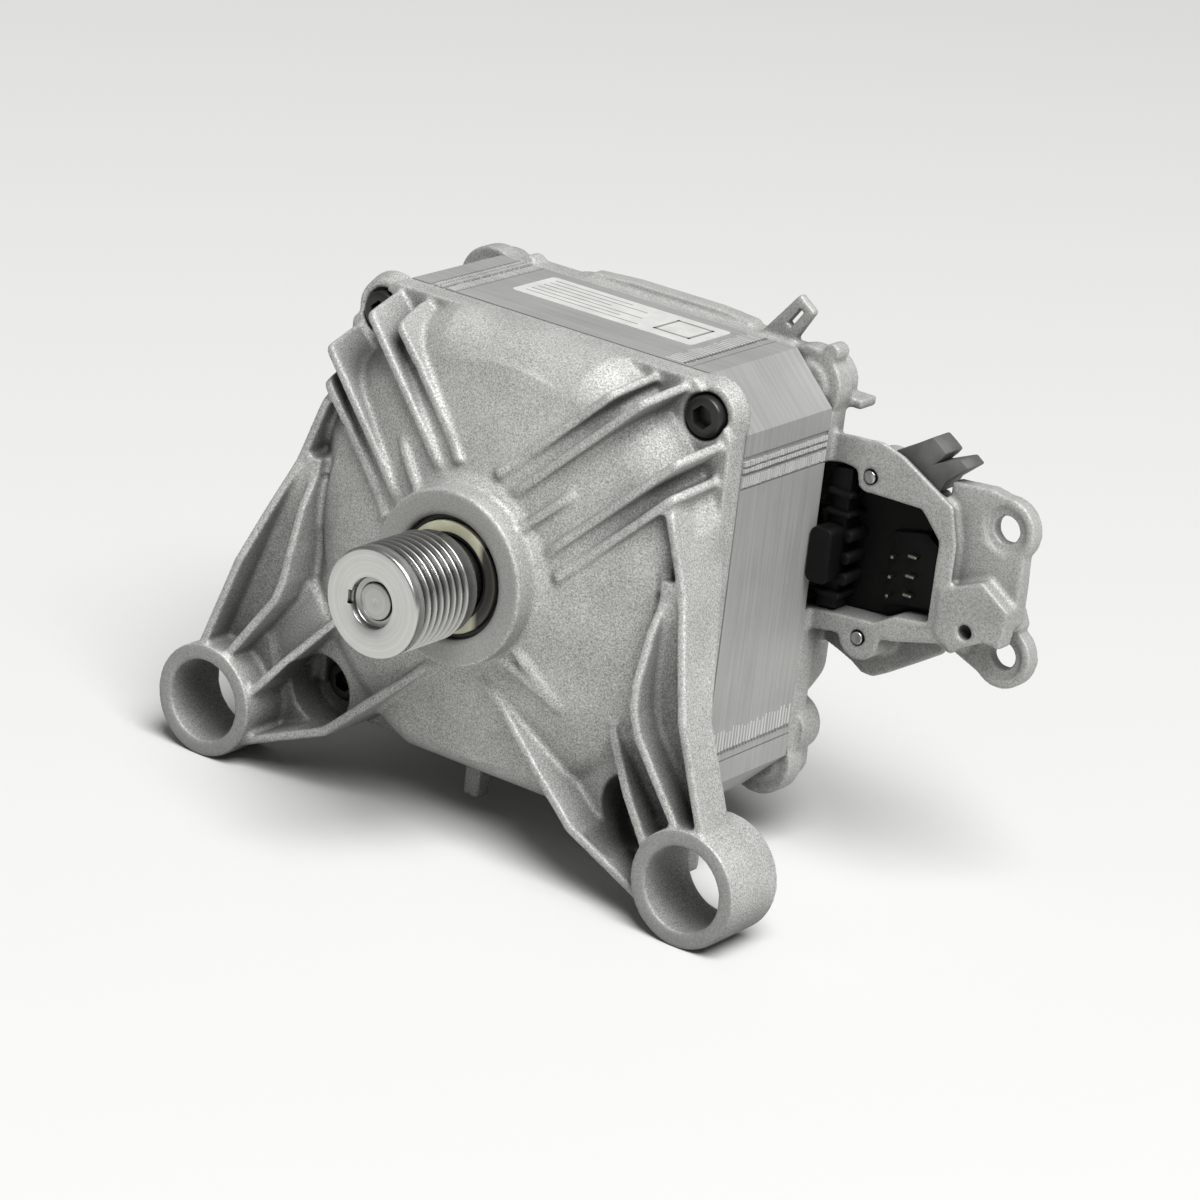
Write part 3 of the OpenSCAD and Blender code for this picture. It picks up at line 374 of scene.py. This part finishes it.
def straightenDish(mesh, size):
    # The drawn dish flares like a trumpet and ends in a step; the real one runs out as a plain cone
    for vertex in mesh.vertices:
        x, y, z = vertex.co / mm
        r, depth = math.hypot(x, z), y - hubFace
        if not size["inner"] < r < size["outer"] + size["overrun"]:
            continue
        inward = size["outer"] - min(r, size["outer"])
        drawn = size["rim"] - size["arc"] + math.sqrt(size["arc"] ** 2 - inward ** 2)
        share = (r - size["inner"]) / (size["outer"] - size["inner"])
        cone = size["root"] + (size["coneRim"] - size["root"]) * share
        near = 1 - abs(depth - drawn) / size["reach"]
        if near > 0:
            vertex.co.y += (cone - drawn) * min(1.0, near * size["hold"]) * mm


def addSkin(casting, label, voxel):
    skin = casting.modifiers.new(label, "REMESH")
    skin.mode = "VOXEL"
    skin.voxel_size = voxel * mm


def softCasting(nodeName, name, size, finish, cuts=(), dish=None, webs=()):
    # The drawing's casting has knife edges; the die leaves every edge and every rib's root rounded.
    # Growing the skin and shrinking it again fills the inside corners and leaves the flat faces in place
    casting = addThing(name, mergedMesh(nodeName))
    if webs:
        work = bmesh.new()
        work.from_mesh(casting.data)
        work.from_mesh(straightShapes(name + "Webs", webs))
        work.to_mesh(casting.data)
        work.free()
    if dish:
        addSkin(casting, "evenSkin", size["voxel"])
        keepShape(casting)
        straightenDish(casting.data, dish)
    for label, shift in (("drawnSkin", size["fill"]), ("grownSkin", -size["fill"]), ("castSkin", 0)):
        addSkin(casting, label, size["voxel"])
        if shift:
            grow = casting.modifiers.new(label + "Shift", "DISPLACE")
            grow.mid_level = 0
            grow.strength = shift * mm
    soften = casting.modifiers.new("dieRadii", "SMOOTH")
    soften.factor = 0.5
    soften.iterations = size["passes"]
    keepShape(casting)
    if cuts:
        cutAway(casting, cuts)
    triangles = sum(len(f.vertices) - 2 for f in casting.data.polygons)
    thin = casting.modifiers.new("fewerFaces", "DECIMATE")
    thin.ratio = min(1.0, size["triangles"] / triangles)
    keepShape(casting)
    print(name, "had", triangles, "triangles before thinning")
    settle(casting, finish, stator, [nodeName], sharpAngle=180)


# Both shields: the skin's cell, how far it grows to fill corners, smoothing passes and triangles kept
shieldSize = {"voxel": 0.42, "fill": 0.55, "passes": 2, "triangles": 190000}
# A small web closes the corner between each leg and the lobe of its bolt, and a slot in the upper right lug
# is cut anew because the rounding closes it
webSize = {"outline": ((61.5, -47.5), (53, -50), (53, -40), (59.5, -41.5)), "front": 26.0, "back": 28.6}
slotSize = {"x": 41.6, "z": 62.6, "lean": -35, "halfWidth": 0.75, "halfLength": 2.7, "front": 71.0,
            "back": 75.2}
legWebs = [([(side * x, z) for x, z in webSize["outline"]], webSize["front"], webSize["back"])
           for side in (-1, 1)]
softCasting("front_shield", "frontCasting", shieldSize, finishes["castFront"], dish=dishSize,
            webs=legWebs)
lean, wide, tall = math.radians(slotSize["lean"]), slotSize["halfWidth"], slotSize["halfLength"]
lugSlot = [(slotSize["x"] + u * math.cos(lean) - v * math.sin(lean),
            slotSize["z"] + u * math.sin(lean) + v * math.cos(lean))
           for u, v in boxOutline(-wide, wide, -tall, tall)]
softCasting("rear_shield", "rearCasting", shieldSize, finishes["castRear"],
            cuts=[(lugSlot, slotSize["front"], slotSize["back"])])
print("castings softened")


def breakEdges(mesh, edge, flatAngle=0.4, sharpAngle=28):
    # Joins faces that lie flat together, then bevels the sharp edges
    work = bmesh.new()
    work.from_mesh(mesh)
    bmesh.ops.dissolve_limit(work, angle_limit=math.radians(flatAngle), verts=work.verts, edges=work.edges)
    sharp = [e for e in work.edges
             if len(e.link_faces) == 2 and e.calc_face_angle() > math.radians(sharpAngle)]
    bmesh.ops.bevel(work, geom=sharp, offset=edge * mm, segments=2, profile=0.5, affect="EDGES",
                    clamp_overlap=True)
    bmesh.ops.triangulate(work, faces=work.faces)
    work.to_mesh(mesh)
    work.free()


def easedCopy(nodeName, name, edge):
    # A moulded or pressed part keeps its drawn shape, with its sharp edges broken by a small radius
    piece = addThing(name, mergedMesh(nodeName))
    breakEdges(piece.data, edge)
    settle(piece, finishes[slotFinish[nodeSlot[nodeName]]], stator, [nodeName])


def roundedOutline(low, high, corner, steps=6):
    outline = []
    left, right, near, far = low[0] + corner, high[0] - corner, low[1] + corner, high[1] - corner
    for x, y, start in ((right, far, 0), (left, far, 90), (left, near, 180), (right, near, 270)):
        for k in range(steps + 1):
            a = math.radians(start + 90 * k / steps)
            outline.append((x + corner * math.cos(a), y + corner * math.sin(a)))
    return outline


# Node trees make what is turned or repeated
def newTree(name, inputs):
    tree = bpy.data.node_groups.new(name, "GeometryNodeTree")
    for label, kind in inputs:
        tree.interface.new_socket(label, in_out="INPUT", socket_type="NodeSocket" + kind)
    tree.interface.new_socket("Result", in_out="OUTPUT", socket_type="NodeSocketGeometry")
    return tree, addNode(tree, "NodeGroupInput").outputs


def growPiece(name, tree, values, profile=()):
    # Runs a tree once on a row of profile points and keeps the result as a plain mesh
    start = bpy.data.meshes.new(name)
    start.from_pydata([(r * mm, y * mm, 0) for r, y in profile], [], [])
    piece = addThing(name, start)
    maker = piece.modifiers.new("maker", "NODES")
    maker.node_group = tree
    for item in tree.interface.items_tree:
        if item.in_out == "INPUT" and item.name in values:
            maker[item.identifier] = values[item.name]
    keepShape(piece)
    return piece


# Turns profile points (radius, depth) round the shaft: a grid with one row for each point
lathe, given = newTree("turnOnLathe", [("Profile", "Geometry"), ("Steps round", "Int"),
                                       ("Finish", "Material")])
rowCount = addNode(lathe, "GeometryNodeAttributeDomainSize", {"Geometry": given["Profile"]}).outputs[0]
columns = addNode(lathe, "ShaderNodeMath", {0: given["Steps round"], 1: 1.0}, operation="ADD")
sheet = addNode(lathe, "GeometryNodeMeshGrid", {"Vertices X": columns.outputs[0], "Vertices Y": rowCount})
number = addNode(lathe, "GeometryNodeInputIndex").outputs[0]
row = addNode(lathe, "ShaderNodeMath", {0: number, 1: rowCount}, operation="MODULO")
share = addNode(lathe, "ShaderNodeMath", {0: number, 1: rowCount}, operation="DIVIDE")
column = addNode(lathe, "ShaderNodeMath", {0: share.outputs[0]}, operation="FLOOR")
place = addNode(lathe, "GeometryNodeInputPosition").outputs[0]
point = addNode(lathe, "GeometryNodeSampleIndex", {"Geometry": given["Profile"], "Value": place,
                                                   "Index": row.outputs[0]}, data_type="FLOAT_VECTOR")
point = addNode(lathe, "ShaderNodeSeparateXYZ", {0: point.outputs[0]})
step = addNode(lathe, "ShaderNodeMath", {0: 2 * math.pi, 1: given["Steps round"]}, operation="DIVIDE")
angle = addNode(lathe, "ShaderNodeMath", {0: column.outputs[0], 1: step.outputs[0]}, operation="MULTIPLY")
cosine = addNode(lathe, "ShaderNodeMath", {0: angle.outputs[0]}, operation="COSINE")
sine = addNode(lathe, "ShaderNodeMath", {0: angle.outputs[0]}, operation="SINE")
across = addNode(lathe, "ShaderNodeMath", {0: point.outputs[0], 1: cosine.outputs[0]}, operation="MULTIPLY")
upward = addNode(lathe, "ShaderNodeMath", {0: point.outputs[0], 1: sine.outputs[0]}, operation="MULTIPLY")
spot = addNode(lathe, "ShaderNodeCombineXYZ", {0: across.outputs[0], 1: point.outputs[1],
                                               2: upward.outputs[0]})
turned = addNode(lathe, "GeometryNodeSetPosition", {"Geometry": sheet.outputs[0],
                                                    "Position": spot.outputs[0]})
welded = addNode(lathe, "GeometryNodeMergeByDistance", {"Geometry": turned.outputs[0],
                                                        "Distance": seamGap})
solid = addNode(lathe, "GeometryNodeRealizeInstances", {0: welded.outputs[0]})
dressed = addNode(lathe, "GeometryNodeSetMaterial", {"Geometry": solid.outputs[0],
                                                     "Material": given["Finish"]})
addNode(lathe, "NodeGroupOutput", {"Result": dressed.outputs[0]})


# Drive pulley: seven belt grooves with rounded tips, a dished face and a step at the rear
pulleySize = {"radius": 13.3, "front": -12.0, "back": 12.0, "land": 3.0, "grooves": 7, "pitch": 2.34,
              "depth": 2.05, "tipRound": 0.22, "rootHalf": 0.22, "stepRadius": 12.6}


def pulleyProfile(size):
    r, front = size["radius"], size["front"]
    points = [(4.58, front + 4.4), (4.58, front + 2.2), (4.7, front + 2.1), (5.8, front + 2.05),
              (6.0, front + 1.9), (6.1, front + 1.6), (6.15, front + 0.3), (6.22, front + 0.1),
              (6.4, front), (12.5, front), (12.9, front + 0.08),
              (13.15, front + 0.3), (r, front + 0.7)]
    start, pitch, depth, tip, root = (front + size["land"], size["pitch"], size["depth"], size["tipRound"],
                                      size["rootHalf"])
    for groove in range(size["grooves"]):
        y = start + groove * pitch
        points += [(r, y + 0.08), (r - 0.05, y + 0.18), (r - 0.2, y + tip + 0.06),
                   (r - depth + 0.2, y + pitch / 2 - root - 0.07), (r - depth, y + pitch / 2 - root + 0.08),
                   (r - depth, y + pitch / 2 + root - 0.08), (r - depth + 0.2, y + pitch / 2 + root + 0.07),
                   (r - 0.2, y + pitch - tip - 0.06), (r - 0.05, y + pitch - 0.18), (r, y + pitch - 0.08)]
    end = start + size["grooves"] * pitch
    points += [(r, end + 0.15), (size["stepRadius"] + 0.1, end + 0.4), (size["stepRadius"], end + 0.55),
               (size["stepRadius"], size["back"] - 0.5), (size["stepRadius"] - 0.4, size["back"]),
               (6.4, size["back"]), (6.02, size["back"] - 0.3), (6.02, front + 4.6), (5.9, front + 4.4)]
    return points + points[:1]


drivePulley = growPiece("groovedPulley", lathe, {"Steps round": 192, "Finish": finishes["pulley"]},
                        pulleyProfile(pulleySize))
notchSize = {"sides": (-6.9, -5.0, -2.0, 1.4), "front": -13.0, "back": -11.0}
cutAway(drivePulley, [(boxOutline(*notchSize["sides"]), notchSize["front"] - hubFace,
                       notchSize["back"] - hubFace)])
settle(drivePulley, finishes["pulley"], "rotor", ["drive_pulley"])

# Shaft: a stepped bar with a centre hole in each end
shaftProfile = [(0, -10.35), (0.5, -10.4), (0.9, -10.47), (1.15, -10.5), (4.15, -10.5),
                (4.35, -10.43), (4.5, -10.28), (4.55, -10.05), (4.55, -7.55), (5.8, -7.45), (6.0, -7.2),
                (6.0, 12.0), (7.2, 12.02), (7.5, 12.4), (7.5, 30.7), (8.3, 30.85), (8.5, 31.1),
                (8.5, 100.1), (8.2, 100.25), (6.0, 100.3), (6.0, 114.9), (5.7, 115.1), (4.0, 115.15),
                (4.0, 121.9), (3.6, 122.2), (1.2, 122.25), (1.0, 122.0), (0, 121.2)]
steppedShaft = growPiece("steppedShaft", lathe, {"Steps round": 128, "Finish": finishes["shaft"]},
                         shaftProfile)
settle(steppedShaft, finishes["shaft"], "rotor", ["rotor_shaft"])
print("rotor pieces turned")

# Corner bolts: round heads with a rounded rim and a hexagon socket
boltSize = {"spread": 96.0, "head": 5.0, "seat": 31.2, "height": 4.0, "socketAcross": 5.0,
            "socketDepth": 2.6, "socketTurn": 0.3, "shank": 2.5, "end": 79.5, "endGap": 0.2}
boltTree, given = newTree("cornerBolts", [("Profile", "Geometry"), ("Steps round", "Int"),
                                          ("Socket corner radius", "Float"), ("Socket depth", "Float"),
                                          ("Head face", "Float"), ("Spread", "Float"),
                                          ("Finish", "Material")])
body = addNode(boltTree, "GeometryNodeGroup", {
    "Profile": given["Profile"], "Steps round": given["Steps round"], "Finish": given["Finish"]},
               node_tree=lathe)
twice = addNode(boltTree, "ShaderNodeMath", {0: given["Socket depth"], 1: 2.0}, operation="MULTIPLY")
key = addNode(boltTree, "GeometryNodeMeshCylinder", {"Vertices": 6, "Radius": given["Socket corner radius"],
                                                     "Depth": twice.outputs[0]})
keyPlace = addNode(boltTree, "ShaderNodeCombineXYZ", {1: given["Head face"]})
keyTurned = addNode(boltTree, "GeometryNodeTransform", {
    "Geometry": key.outputs[0], "Translation": keyPlace.outputs[0],
    "Rotation": (math.pi / 2, boltSize["socketTurn"], 0)})
cut = addNode(boltTree, "GeometryNodeMeshBoolean", {"Mesh 1": body.outputs[0],
                                                    "Mesh 2": keyTurned.outputs[0]}, operation="DIFFERENCE")
corners = addNode(boltTree, "GeometryNodeMeshGrid", {"Size X": given["Spread"], "Size Y": given["Spread"],
                                                     "Vertices X": 2, "Vertices Y": 2})
cornersUp = addNode(boltTree, "GeometryNodeTransform", {"Geometry": corners.outputs[0],
                                                        "Rotation": (math.pi / 2, 0, 0)})
bolts = addNode(boltTree, "GeometryNodeInstanceOnPoints", {"Points": cornersUp.outputs[0],
                                                           "Instance": cut.outputs[0]})
solid = addNode(boltTree, "GeometryNodeRealizeInstances", {0: bolts.outputs[0]})
dressed = addNode(boltTree, "GeometryNodeSetMaterial", {"Geometry": solid.outputs[0],
                                                        "Material": given["Finish"]})
addNode(boltTree, "NodeGroupOutput", {"Result": dressed.outputs[0]})
seat, face = hubFace + boltSize["seat"], hubFace + boltSize["seat"] - boltSize["height"]
head, shank, end = boltSize["head"], boltSize["shank"], hubFace + boltSize["end"] - boltSize["endGap"]
boltProfile = [(0, face), (3.1, face), (4.2, face + 0.05), (4.7, face + 0.25), (head, face + 0.7),
               (head, seat - 0.3), (head - 0.3, seat), (shank, seat), (shank, end - 0.5), (shank - 0.5, end),
               (0, end)]
cornerBolts = growPiece("cornerBolts", boltTree, {
    "Steps round": 64, "Socket corner radius": boltSize["socketAcross"] / 2 / math.cos(math.pi / 6) * mm,
    "Socket depth": boltSize["socketDepth"] * mm, "Head face": face * mm, "Spread": boltSize["spread"] * mm,
    "Finish": finishes["bolt"]}, boltProfile)
settle(cornerBolts, finishes["bolt"], stator, ["corner_bolts"])

# Moulded, pressed and bought parts with broken edges. First the black housing in the connector box: its
# floor and wall, the block that holds the plug's pins, the leads' grommet, ribs and round lead guides
housingSize = {
    "outline": [(57, 28.2), (60, 31.0), (63.8, 30.6), (64.7, 26.6), (66.7, 25.7), (82.8, 26.1), (88.7, 19.9),
                (88.6, -0.3), (79.7, -1.5), (74.2, -4.7), (62, -5.6), (57, -6.1)],
    "floor": 78.95, "back": 81.95, "sunk": 79.95,
    "wall": [(57, 29.5), (62.6, 30.5), (62.6, -5.3), (57, -5.8)], "wallFront": 73.0,
    "block": [(73.6, -1), (73.6, 17.2), (83, 19.4), (86.4, 17), (86.4, 1)], "blockFront": 76.6,
    "grommetLow": (56.75, 2.0), "grommetHigh": (63.0, 16.0), "grommetRound": 2.0, "grommetFront": 66.6,
    "grommetBack": 75.0, "ribs": (24.0, 19.0, -1.5), "ribHalf": 0.7, "ribFront": 71.2,
    "leads": (13.9, 8.3, 3.0), "leadPlace": 64.2, "leadRadius": 1.5, "leadFront": 71.5, "edge": 0.4,
}
sunk = housingSize["sunk"]
housingShapes = [
    (housingSize["outline"], housingSize["floor"], housingSize["back"]),
    (housingSize["wall"], housingSize["wallFront"], sunk),
    (housingSize["block"], housingSize["blockFront"], sunk),
    (roundedOutline(housingSize["grommetLow"], housingSize["grommetHigh"], housingSize["grommetRound"]),
     housingSize["grommetFront"], housingSize["grommetBack"])]
for z in housingSize["ribs"]:
    h = housingSize["ribHalf"]
    housingShapes.append(([(57.2, z - h), (64, z - h), (64.4, z), (64, z + h), (57.2, z + h)],
                          housingSize["ribFront"], sunk))
for z in housingSize["leads"]:
    r = housingSize["leadRadius"]
    ring = [(housingSize["leadPlace"] + r * math.cos(a), z + r * math.sin(a))
            for a in [k * math.pi / 8 for k in range(16)]]
    housingShapes.append((ring, housingSize["leadFront"], sunk))
terminalHousing = addThing("terminalHousing", straightShapes("terminalHousing", housingShapes))
breakEdges(terminalHousing.data, housingSize["edge"])
settle(terminalHousing, finishes["blackPlastic"], stator, ["terminal_housing"])
terminalSizes = {
    "phaseBlades": {"node": "power_terminals", "left": 79.6, "right": 82.0, "half": 0.35,
                    "heights": (13.1, 8.1, 3.3), "front": 74.8, "back": 77.75, "edge": 0.15},
    "signalPins": {"node": "signal_terminals", "left": 74.9, "right": 75.7, "half": 0.4,
                   "heights": (11.4, 6.4, 1.6), "front": 74.8, "back": 77.75, "edge": 0.15},
}
for name, size in terminalSizes.items():
    terminals = addThing(name, straightShapes(name, [
        (boxOutline(size["left"], size["right"], z - size["half"], z + size["half"]), size["front"],
         size["back"]) for z in size["heights"]]))
    breakEdges(terminals.data, size["edge"])
    settle(terminals, finishes["tin"], stator, [size["node"]])
easedCopy("connector_screws", "boxScrews", 0.3)
# Cable clip: one bent strip with two fingers
clipSize = {"outline": [(71.0, 36.6), (76, 39.6), (81.2, 43.0), (83.4, 41.6), (85.5, 40.1), (84.4, 38.5),
                        (82.9, 36.9), (89.6, 39.8), (90.7, 39.0), (91.9, 38.2), (86.6, 33.6), (85, 30.4),
                        (77, 29.2), (75.1, 34.4)], "front": 75.9, "back": 83.6, "edge": 0.5}
cableClip = addThing("cableClip", straightShapes("cableClip", [
    (clipSize["outline"], clipSize["front"], clipSize["back"])]))
breakEdges(cableClip.data, clipSize["edge"])
settle(cableClip, finishes["greyPlastic"], stator, ["cable_clip"])
easedCopy("tacho_cover", "sensorCover", 0.6)
easedCopy("tacho_screws", "sensorScrews", 0.3)
easedCopy("dust_seal", "dustSeal", 0.2)
easedCopy("retainer_ring", "paleRing", 0.35)
print("small parts eased")

# Marks in the stack's sides: rows of small bars along the shaft, the same on all four sides
markTree, given = newTree("stackMarks", [("Count", "Int"), ("Pitch", "Float"), ("Bar", "Vector"),
                                         ("First", "Vector"), ("Ragged", "Float"), ("Seed", "Int"),
                                         ("Finish", "Material")])
stride = addNode(markTree, "ShaderNodeCombineXYZ", {1: given["Pitch"]})
line = addNode(markTree, "GeometryNodeMeshLine", {"Count": given["Count"], "Start Location": given["First"],
                                                  "Offset": stride.outputs[0]}, mode="OFFSET")
bar = addNode(markTree, "GeometryNodeMeshCube", {"Size": given["Bar"]})
short = addNode(markTree, "ShaderNodeMath", {0: 1.0, 1: given["Ragged"]}, operation="SUBTRACT")
height = addNode(markTree, "FunctionNodeRandomValue", {2: short.outputs[0], 3: 1.0, "Seed": given["Seed"]},
                 data_type="FLOAT")
stretch = addNode(markTree, "ShaderNodeCombineXYZ", {0: 1.0, 1: 1.0, 2: height.outputs[1]})
bars = addNode(markTree, "GeometryNodeInstanceOnPoints", {
    "Points": line.outputs[0], "Instance": bar.outputs[0], "Scale": stretch.outputs[0]})
sides = addNode(markTree, "GeometryNodeMeshLine", {"Count": 4, "Offset": (0, 0, 0)}, mode="OFFSET")
quarter = addNode(markTree, "ShaderNodeMath", {0: addNode(markTree, "GeometryNodeInputIndex").outputs[0],
                                               1: math.pi / 2}, operation="MULTIPLY")
sideTurn = addNode(markTree, "ShaderNodeCombineXYZ", {1: quarter.outputs[0]})
allSides = addNode(markTree, "GeometryNodeInstanceOnPoints", {
    "Points": sides.outputs[0], "Instance": bars.outputs[0], "Rotation": sideTurn.outputs[0]})
solid = addNode(markTree, "GeometryNodeRealizeInstances", {0: allSides.outputs[0]})
dressed = addNode(markTree, "GeometryNodeSetMaterial", {"Geometry": solid.outputs[0],
                                                        "Material": given["Finish"]})
addNode(markTree, "NodeGroupOutput", {"Result": dressed.outputs[0]})

stackSize = {"side": 56.4, "front": 34.3, "length": 35.5}
stackMarks = {
    "upperRidge": {"z": 37.3, "bar": (0.9, 0.6, 1.1), "proud": 0.3, "count": 34, "pitch": 1.02,
                   "ragged": 0.3, "finish": "burr"},
    "lowerRidge": {"z": 35.65, "bar": (0.9, 0.6, 1.0), "proud": 0.3, "count": 34, "pitch": 1.02,
                   "ragged": 0.3, "finish": "burr"},
    "hatchedBand": {"z": 32.8, "bar": (0.9, 0.45, 2.7), "proud": 0.2, "count": 40, "pitch": 0.87,
                    "ragged": 0.25, "finish": "burr"},
    "combTeeth": {"z": -33.6, "bar": (0.9, 0.5, 6.4), "proud": 0.12, "count": 27, "pitch": 1.27,
                  "ragged": 0.45, "finish": "burr"},
    "combDots": {"z": -36.2, "bar": (0.9, 0.6, 0.9), "proud": 0.2, "count": 27, "pitch": 1.27,
                 "ragged": 0.4, "finish": "ink"},
}
for seed, (name, mark) in enumerate(stackMarks.items()):
    x = stackSize["side"] + mark["proud"] - mark["bar"][0] / 2
    rowLength = (mark["count"] - 1) * mark["pitch"]
    start = hubFace + stackSize["front"] + (stackSize["length"] - rowLength) / 2
    piece = growPiece(name, markTree, {
        "Count": mark["count"], "Pitch": mark["pitch"] * mm, "Bar": tuple(s * mm for s in mark["bar"]),
        "First": (x * mm, start * mm, mark["z"] * mm), "Ragged": mark["ragged"], "Seed": seed,
        "Finish": finishes[mark["finish"]]})
    settle(piece, finishes[mark["finish"]], stator, [])
print("stack marked")

# Label on top of the stack: a thin pale foil with plain rules and one empty square, no words
labelSize = {"low": (-25.0, 48.0), "high": (28.7, 65.6), "top": 56.42, "thick": 0.12, "corner": 1.5,
             "rules": [(-22.5, 11, 51), (-22.5, 4, 53.4), (-22.5, 9, 55.8), (-22.5, -2, 58.2),
                       (-22.5, 7, 60.6), (-22.5, 1, 63)],
             "rule": 0.4, "square": (20.2, 57.2, 5.4), "squareLine": 0.8, "inkSunk": 0.03, "inkProud": 0.02}
labelTop = labelSize["top"] + labelSize["thick"]
foilOutline = roundedOutline(labelSize["low"], labelSize["high"], labelSize["corner"])
half = labelSize["rule"] / 2
inkMarks = [boxOutline(left, right, depth - half, depth + half)
            for left, right, depth in labelSize["rules"]]
squareX, squareDepth, side = labelSize["square"]
edgeLine = boxOutline(-side, side, -side, -side + labelSize["squareLine"])
for _ in range(4):  # the empty square's four sides
    inkMarks.append([(squareX + u, squareDepth + v) for u, v in edgeLine])
    edgeLine = [(-v, u) for u, v in edgeLine]
foil = [(foilOutline, labelSize["top"], labelTop)]
inkShapes = [(outline, labelTop - labelSize["inkSunk"], labelTop + labelSize["inkProud"])
             for outline in inkMarks]
for name, shapes, finish, slotName in (("foilLabel", foil, "label", "pale_plastic"),
                                       ("labelRules", inkShapes, "print", "grey_plastic")):
    plate = addThing(name, straightShapes(name, shapes, lying=True))
    settle(plate, finishes[finish], stator, [])
print("label laid")

# Floor, light and surroundings: a plain pale studio table under one large soft box
floorMaterial, _, floorShader, _ = startMaterial("matWhiteTable", Roughness=0.9)
floorShader.inputs["Base Color"].default_value = linear("#c6c6c4")
floorHalf, floorHeight = 3.0, cadBounds[0].z
floorMesh = bpy.data.meshes.new("table")
floorCorners = boxOutline(-floorHalf, floorHalf, -floorHalf, floorHalf)
floorMesh.from_pydata([(x, y, floorHeight) for x, y in floorCorners], [], [(0, 1, 2, 3)])
floorMesh.materials.append(floorMaterial)
floor = addThing("table", floorMesh)

lamp = {"place": (2.1, -1.35, 4.1), "aim": (0, 0.04, 0), "size": 3.0, "watts": 445}
softBox = bpy.data.lights.new("keyBox", "AREA")
softBox.size = lamp["size"]
softBox.energy = lamp["watts"]
light = addThing("keyBox", softBox)
light.location = lamp["place"]
light.rotation_euler = (Vector(lamp["aim"]) - Vector(lamp["place"])).to_track_quat("-Z", "Y").to_euler()
world = bpy.data.worlds.new("paleRoom")
scene.world = world
world.use_nodes = True
world.node_tree.nodes["Background"].inputs["Color"].default_value = linear("#ffffff")
world.node_tree.nodes["Background"].inputs["Strength"].default_value = 0.2
print("studio ready")
